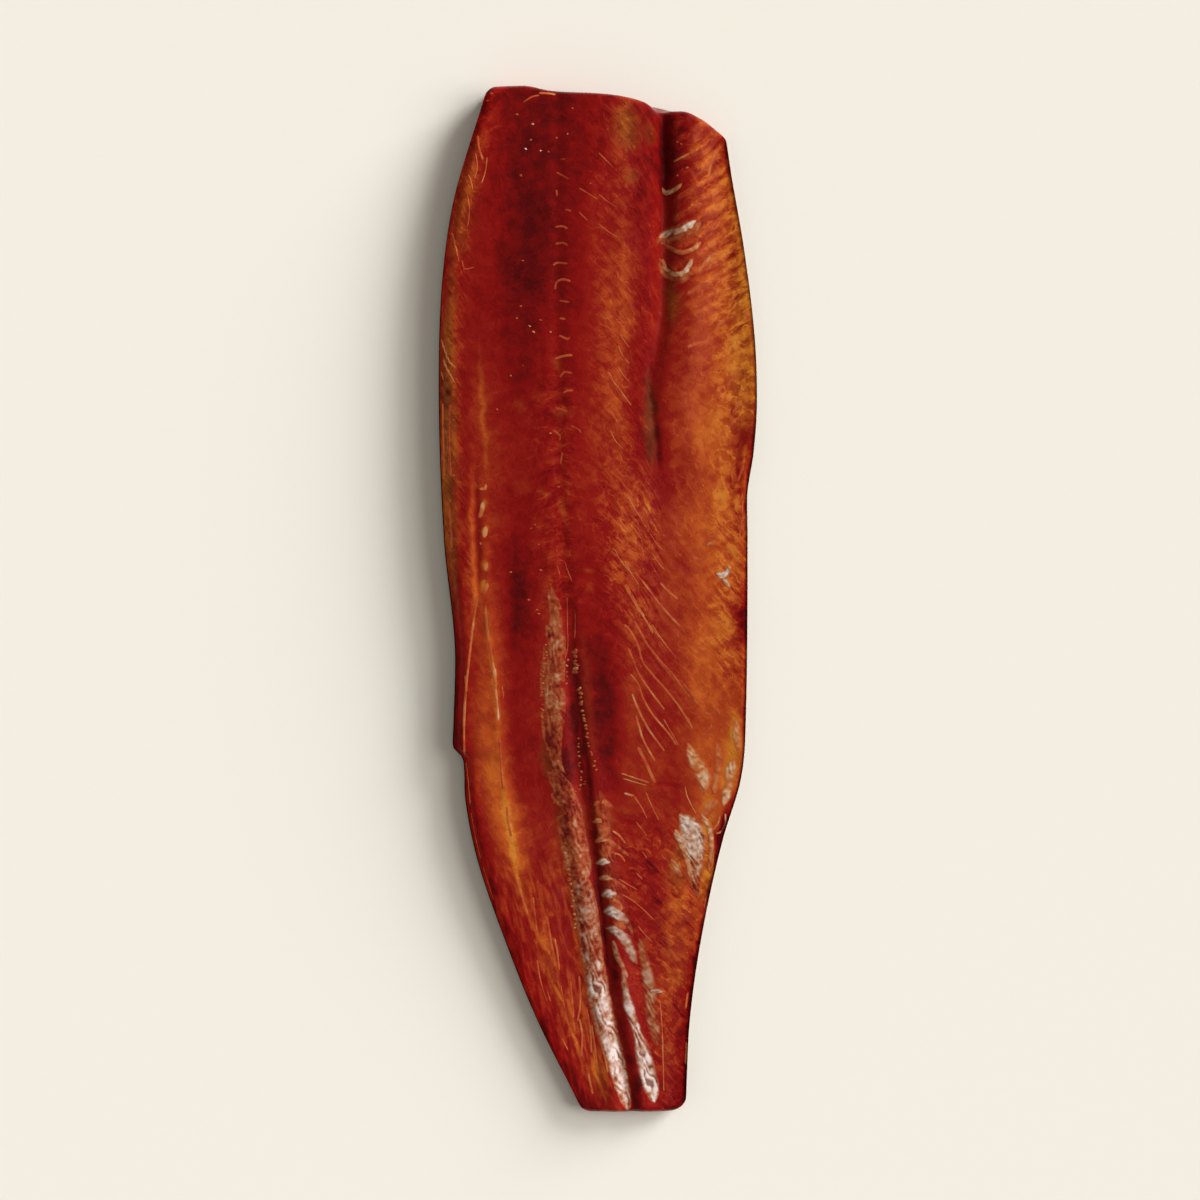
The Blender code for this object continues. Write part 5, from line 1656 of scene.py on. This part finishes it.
def fish_skin():
    """Smoked salmon skin: bronze-black back, silver-gold belly, scales under a lacquer of oil."""
    material, tree, shader = new_material("fish_skin")
    place = add(tree, "TexCoord", out="Object")
    y_mm = add(tree, "Math", add(tree, "SeparateXYZ", place, out="Y"), 1 / MM, operation="MULTIPLY")
    across = add(tree, "Attribute", out="Fac", attribute_name="off_lateral")
    from_rim = add(tree, "Attribute", out="Fac", attribute_name="from_rim")

    turned = stretched(
        tree, add(tree, "Math", y_mm, across, operation="ADD"),
        add(tree, "Math", y_mm, across, operation="SUBTRACT"), 1.0)
    # places on a grid turned by 45 degrees lie 1.414 times as far apart
    distance = add(tree, "TexVoronoi", {
        "Vector": turned, "Scale": 1 / (SCALE_SIZE * 1.414 * MM), "Randomness": 0.25,
    }, out="Distance", voronoi_dimensions="2D")
    shade = add(tree, "SeparateColor", distance.node.outputs["Color"])
    rim = add(tree, "MapRange", distance, 0.36, 0.58, 0.0, 1.0, interpolation_type="SMOOTHSTEP")
    cloud = patches(tree, place, 22, (0.3, 0.7), (-0.1, 0.1), detail=3)
    to_belly = add(tree, "MapRange", across, -75, 75, 0.02, 0.98, interpolation_type="SMOOTHSTEP")
    shades = add(tree, "Math", shade, 0.16, -0.08, operation="MULTIPLY_ADD")
    tone = weighted_sum(tree, to_belly, cloud, shades, (-0.16, rim))
    colour = add(tree, "ValToRGB", tone, stops=SKIN_STOPS)

    # round spots, above the lateral line only
    to_spot = add(tree, "TexVoronoi", {
        "Vector": stretched(tree, across, y_mm, 1.0), "Scale": 1 / (SPOT_SPACING * MM), "Randomness": 1.0,
    }, out="Distance", voronoi_dimensions="2D")
    spot = add(tree, "MapRange", to_spot, 0.1, 0.17, 1.0, 0.0, interpolation_type="SMOOTHSTEP")
    above = add(tree, "MapRange", across, -10, -2, 0.8, 0.0, interpolation_type="SMOOTHSTEP")
    spot = add(tree, "Math", spot, above, operation="MULTIPLY")

    # pores of the lateral line, and the skin darker towards its rim
    off_line = add(tree, "Math", across, operation="ABSOLUTE")
    on_line = add(tree, "MapRange", off_line, 0.5, 1.2, 0.8, 0.0, interpolation_type="SMOOTHSTEP")
    beat = add(tree, "Math", y_mm, 2 * np.pi / PORE_SPACING, operation="MULTIPLY")
    beat = add(tree, "Math", beat, operation="SINE")
    beat = add(tree, "MapRange", beat, -0.4, 0.4, 0.35, 1.0, interpolation_type="SMOOTHSTEP")
    pores = add(tree, "Math", on_line, beat, operation="MULTIPLY")
    rim_darkening = add(tree, "MapRange", from_rim, 0.6, 5.0, 1.0, 0.0, interpolation_type="SMOOTHSTEP")
    for share in (spot, pores, rim_darkening):
        colour = add(
            tree, "Mix", {0: share, 6: colour, 7: linear(SPOT_COLOUR)}, out=2, data_type="RGBA")
    tree.links.new(colour, shader.inputs["Base Color"])

    rough = add(tree, "MapRange", rim, 0.0, 1.0, 0.3, 0.42, interpolation_type="SMOOTHSTEP")
    gloss = add(tree, "MapRange", from_rim, 1, 6, 0.1, 0.4, interpolation_type="SMOOTHSTEP")
    tree.links.new(rough, shader.inputs["Roughness"])
    tree.links.new(gloss, shader.inputs["Specular IOR Level"])
    bumps = add(tree, "Bump", {
        "Height": add(tree, "Math", distance, -1.0, operation="MULTIPLY"), "Distance": SKIN_BUMP * MM,
    })
    tree.links.new(bumps, shader.inputs["Normal"])
    print(f"{material.name}: {len(tree.nodes)} nodes")
    return material

# %% What each piece wears and stands for
salmon = smoked_flesh()
for piece in (flesh, lines, films_and_glints, beads):
    piece.data.materials.append(salmon)
skin.data.materials.append(fish_skin())
for piece in (flesh, skin, lines, films_and_glints, beads):
    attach(piece, "root")
    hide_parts(NODE)
    layers = [layer.name for layer in piece.data.attributes if layer.data_type == "FLOAT"]
    print(f"{piece.name}: {piece.data.materials[0].name}, reading {', '.join(layers)}")

# %% [markdown]
# ## Floor, lights and camera
#
# The side lies on a plain floor of matt paper. It is shown from straight above, which
# flattens it, so the light has to give it its shape. Two wide suns, one low and one higher,
# stand in for windows on the belly side: soft as daylight, with the shadow at the back. They
# are left out of reflections, where a wide sun would lie as a veil over all of the red. A
# small softbox over the tail is the one lamp that the film mirrors.

# %% Floor
floor_mesh = bpy.data.meshes.new("floor")
floor_mesh.from_pydata([(-3, -3, 0), (3, -3, 0), (3, 3, 0), (-3, 3, 0)], [], [(0, 1, 2, 3)])
floor = bpy.data.objects.new("floor", floor_mesh)
bpy.context.scene.collection.objects.link(floor)
floor_material, _, floor_shader = new_material("matt_paper")
floor_shader.inputs["Base Color"].default_value = linear("F5F0E6")
floor_shader.inputs["Roughness"].default_value = 0.9
floor_shader.inputs["Specular IOR Level"].default_value = 0.0
floor_mesh.materials.append(floor_material)
print(f"{floor_material.name}: a floor {floor_mesh.vertices[2].co.x * 2:.0f} m wide")

# %% Lights


def aim(made, place, target=(0, 0, 0)):
    """Puts a lamp or camera at a place in metres, facing a target."""
    made.location = place
    facing = mathutils.Vector(target) - mathutils.Vector(place)
    made.rotation_euler = facing.to_track_quat("-Z", "Y").to_euler()
    bpy.context.scene.collection.objects.link(made)


def sun(name, place, spread_deg, strength):
    """Far lamp that shines from the direction of a place, as wide as a given angle."""
    lamp = bpy.data.lights.new(name, "SUN")
    lamp.angle = np.radians(spread_deg)
    lamp.energy = strength
    made = bpy.data.objects.new(name, lamp)
    made.visible_glossy = False
    aim(made, place)


def softbox(name, place, size, power, target):
    """Rectangular lamp of a size in metres and a power in watts, at a place, facing a target."""
    lamp = bpy.data.lights.new(name, "AREA")
    lamp.shape = "RECTANGLE"
    lamp.size, lamp.size_y = size
    lamp.energy = power
    aim(bpy.data.objects.new(name, lamp), place, target)


sun("low_window", (1.65, 1.25, 0.72), 28, 3.5)
sun("high_window", (2.0, 0.2, 1.6), 40, 1.6)
softbox("tail_box", (0.1, -0.5, 1.3), (0.3, 0.14), 0.15, (0, -0.2, 0))
world = bpy.data.worlds.new("room")
world.use_nodes = True
world.node_tree.nodes["Background"].inputs["Color"].default_value = linear("FFFCF2")
world.node_tree.nodes["Background"].inputs["Strength"].default_value = 0.3
world.cycles_visibility.glossy = False
bpy.context.scene.world = world
bpy.context.scene.view_settings.view_transform = "Standard"
print("lamps:", [lamp.name for lamp in bpy.data.lights])

# %% Camera
OUTLINE_HEIGHT = 0.006                    # m, where the side is widest
DISTANCE = 2.0                            # m, from there up to the camera
FRAME_WIDTH = 0.6106                      # m, what the frame shows at that height
camera = bpy.data.cameras.new("camera")
camera.sensor_width = 36.0
camera.lens = camera.sensor_width * DISTANCE / FRAME_WIDTH
camera_object = bpy.data.objects.new("camera", camera)
camera_object.location = (0.001, 0, DISTANCE + OUTLINE_HEIGHT)
bpy.context.scene.collection.objects.link(camera_object)
bpy.context.scene.camera = camera_object
print(f"camera {camera_object.location.z:.3f} m up, lens {camera.lens:.1f} mm")
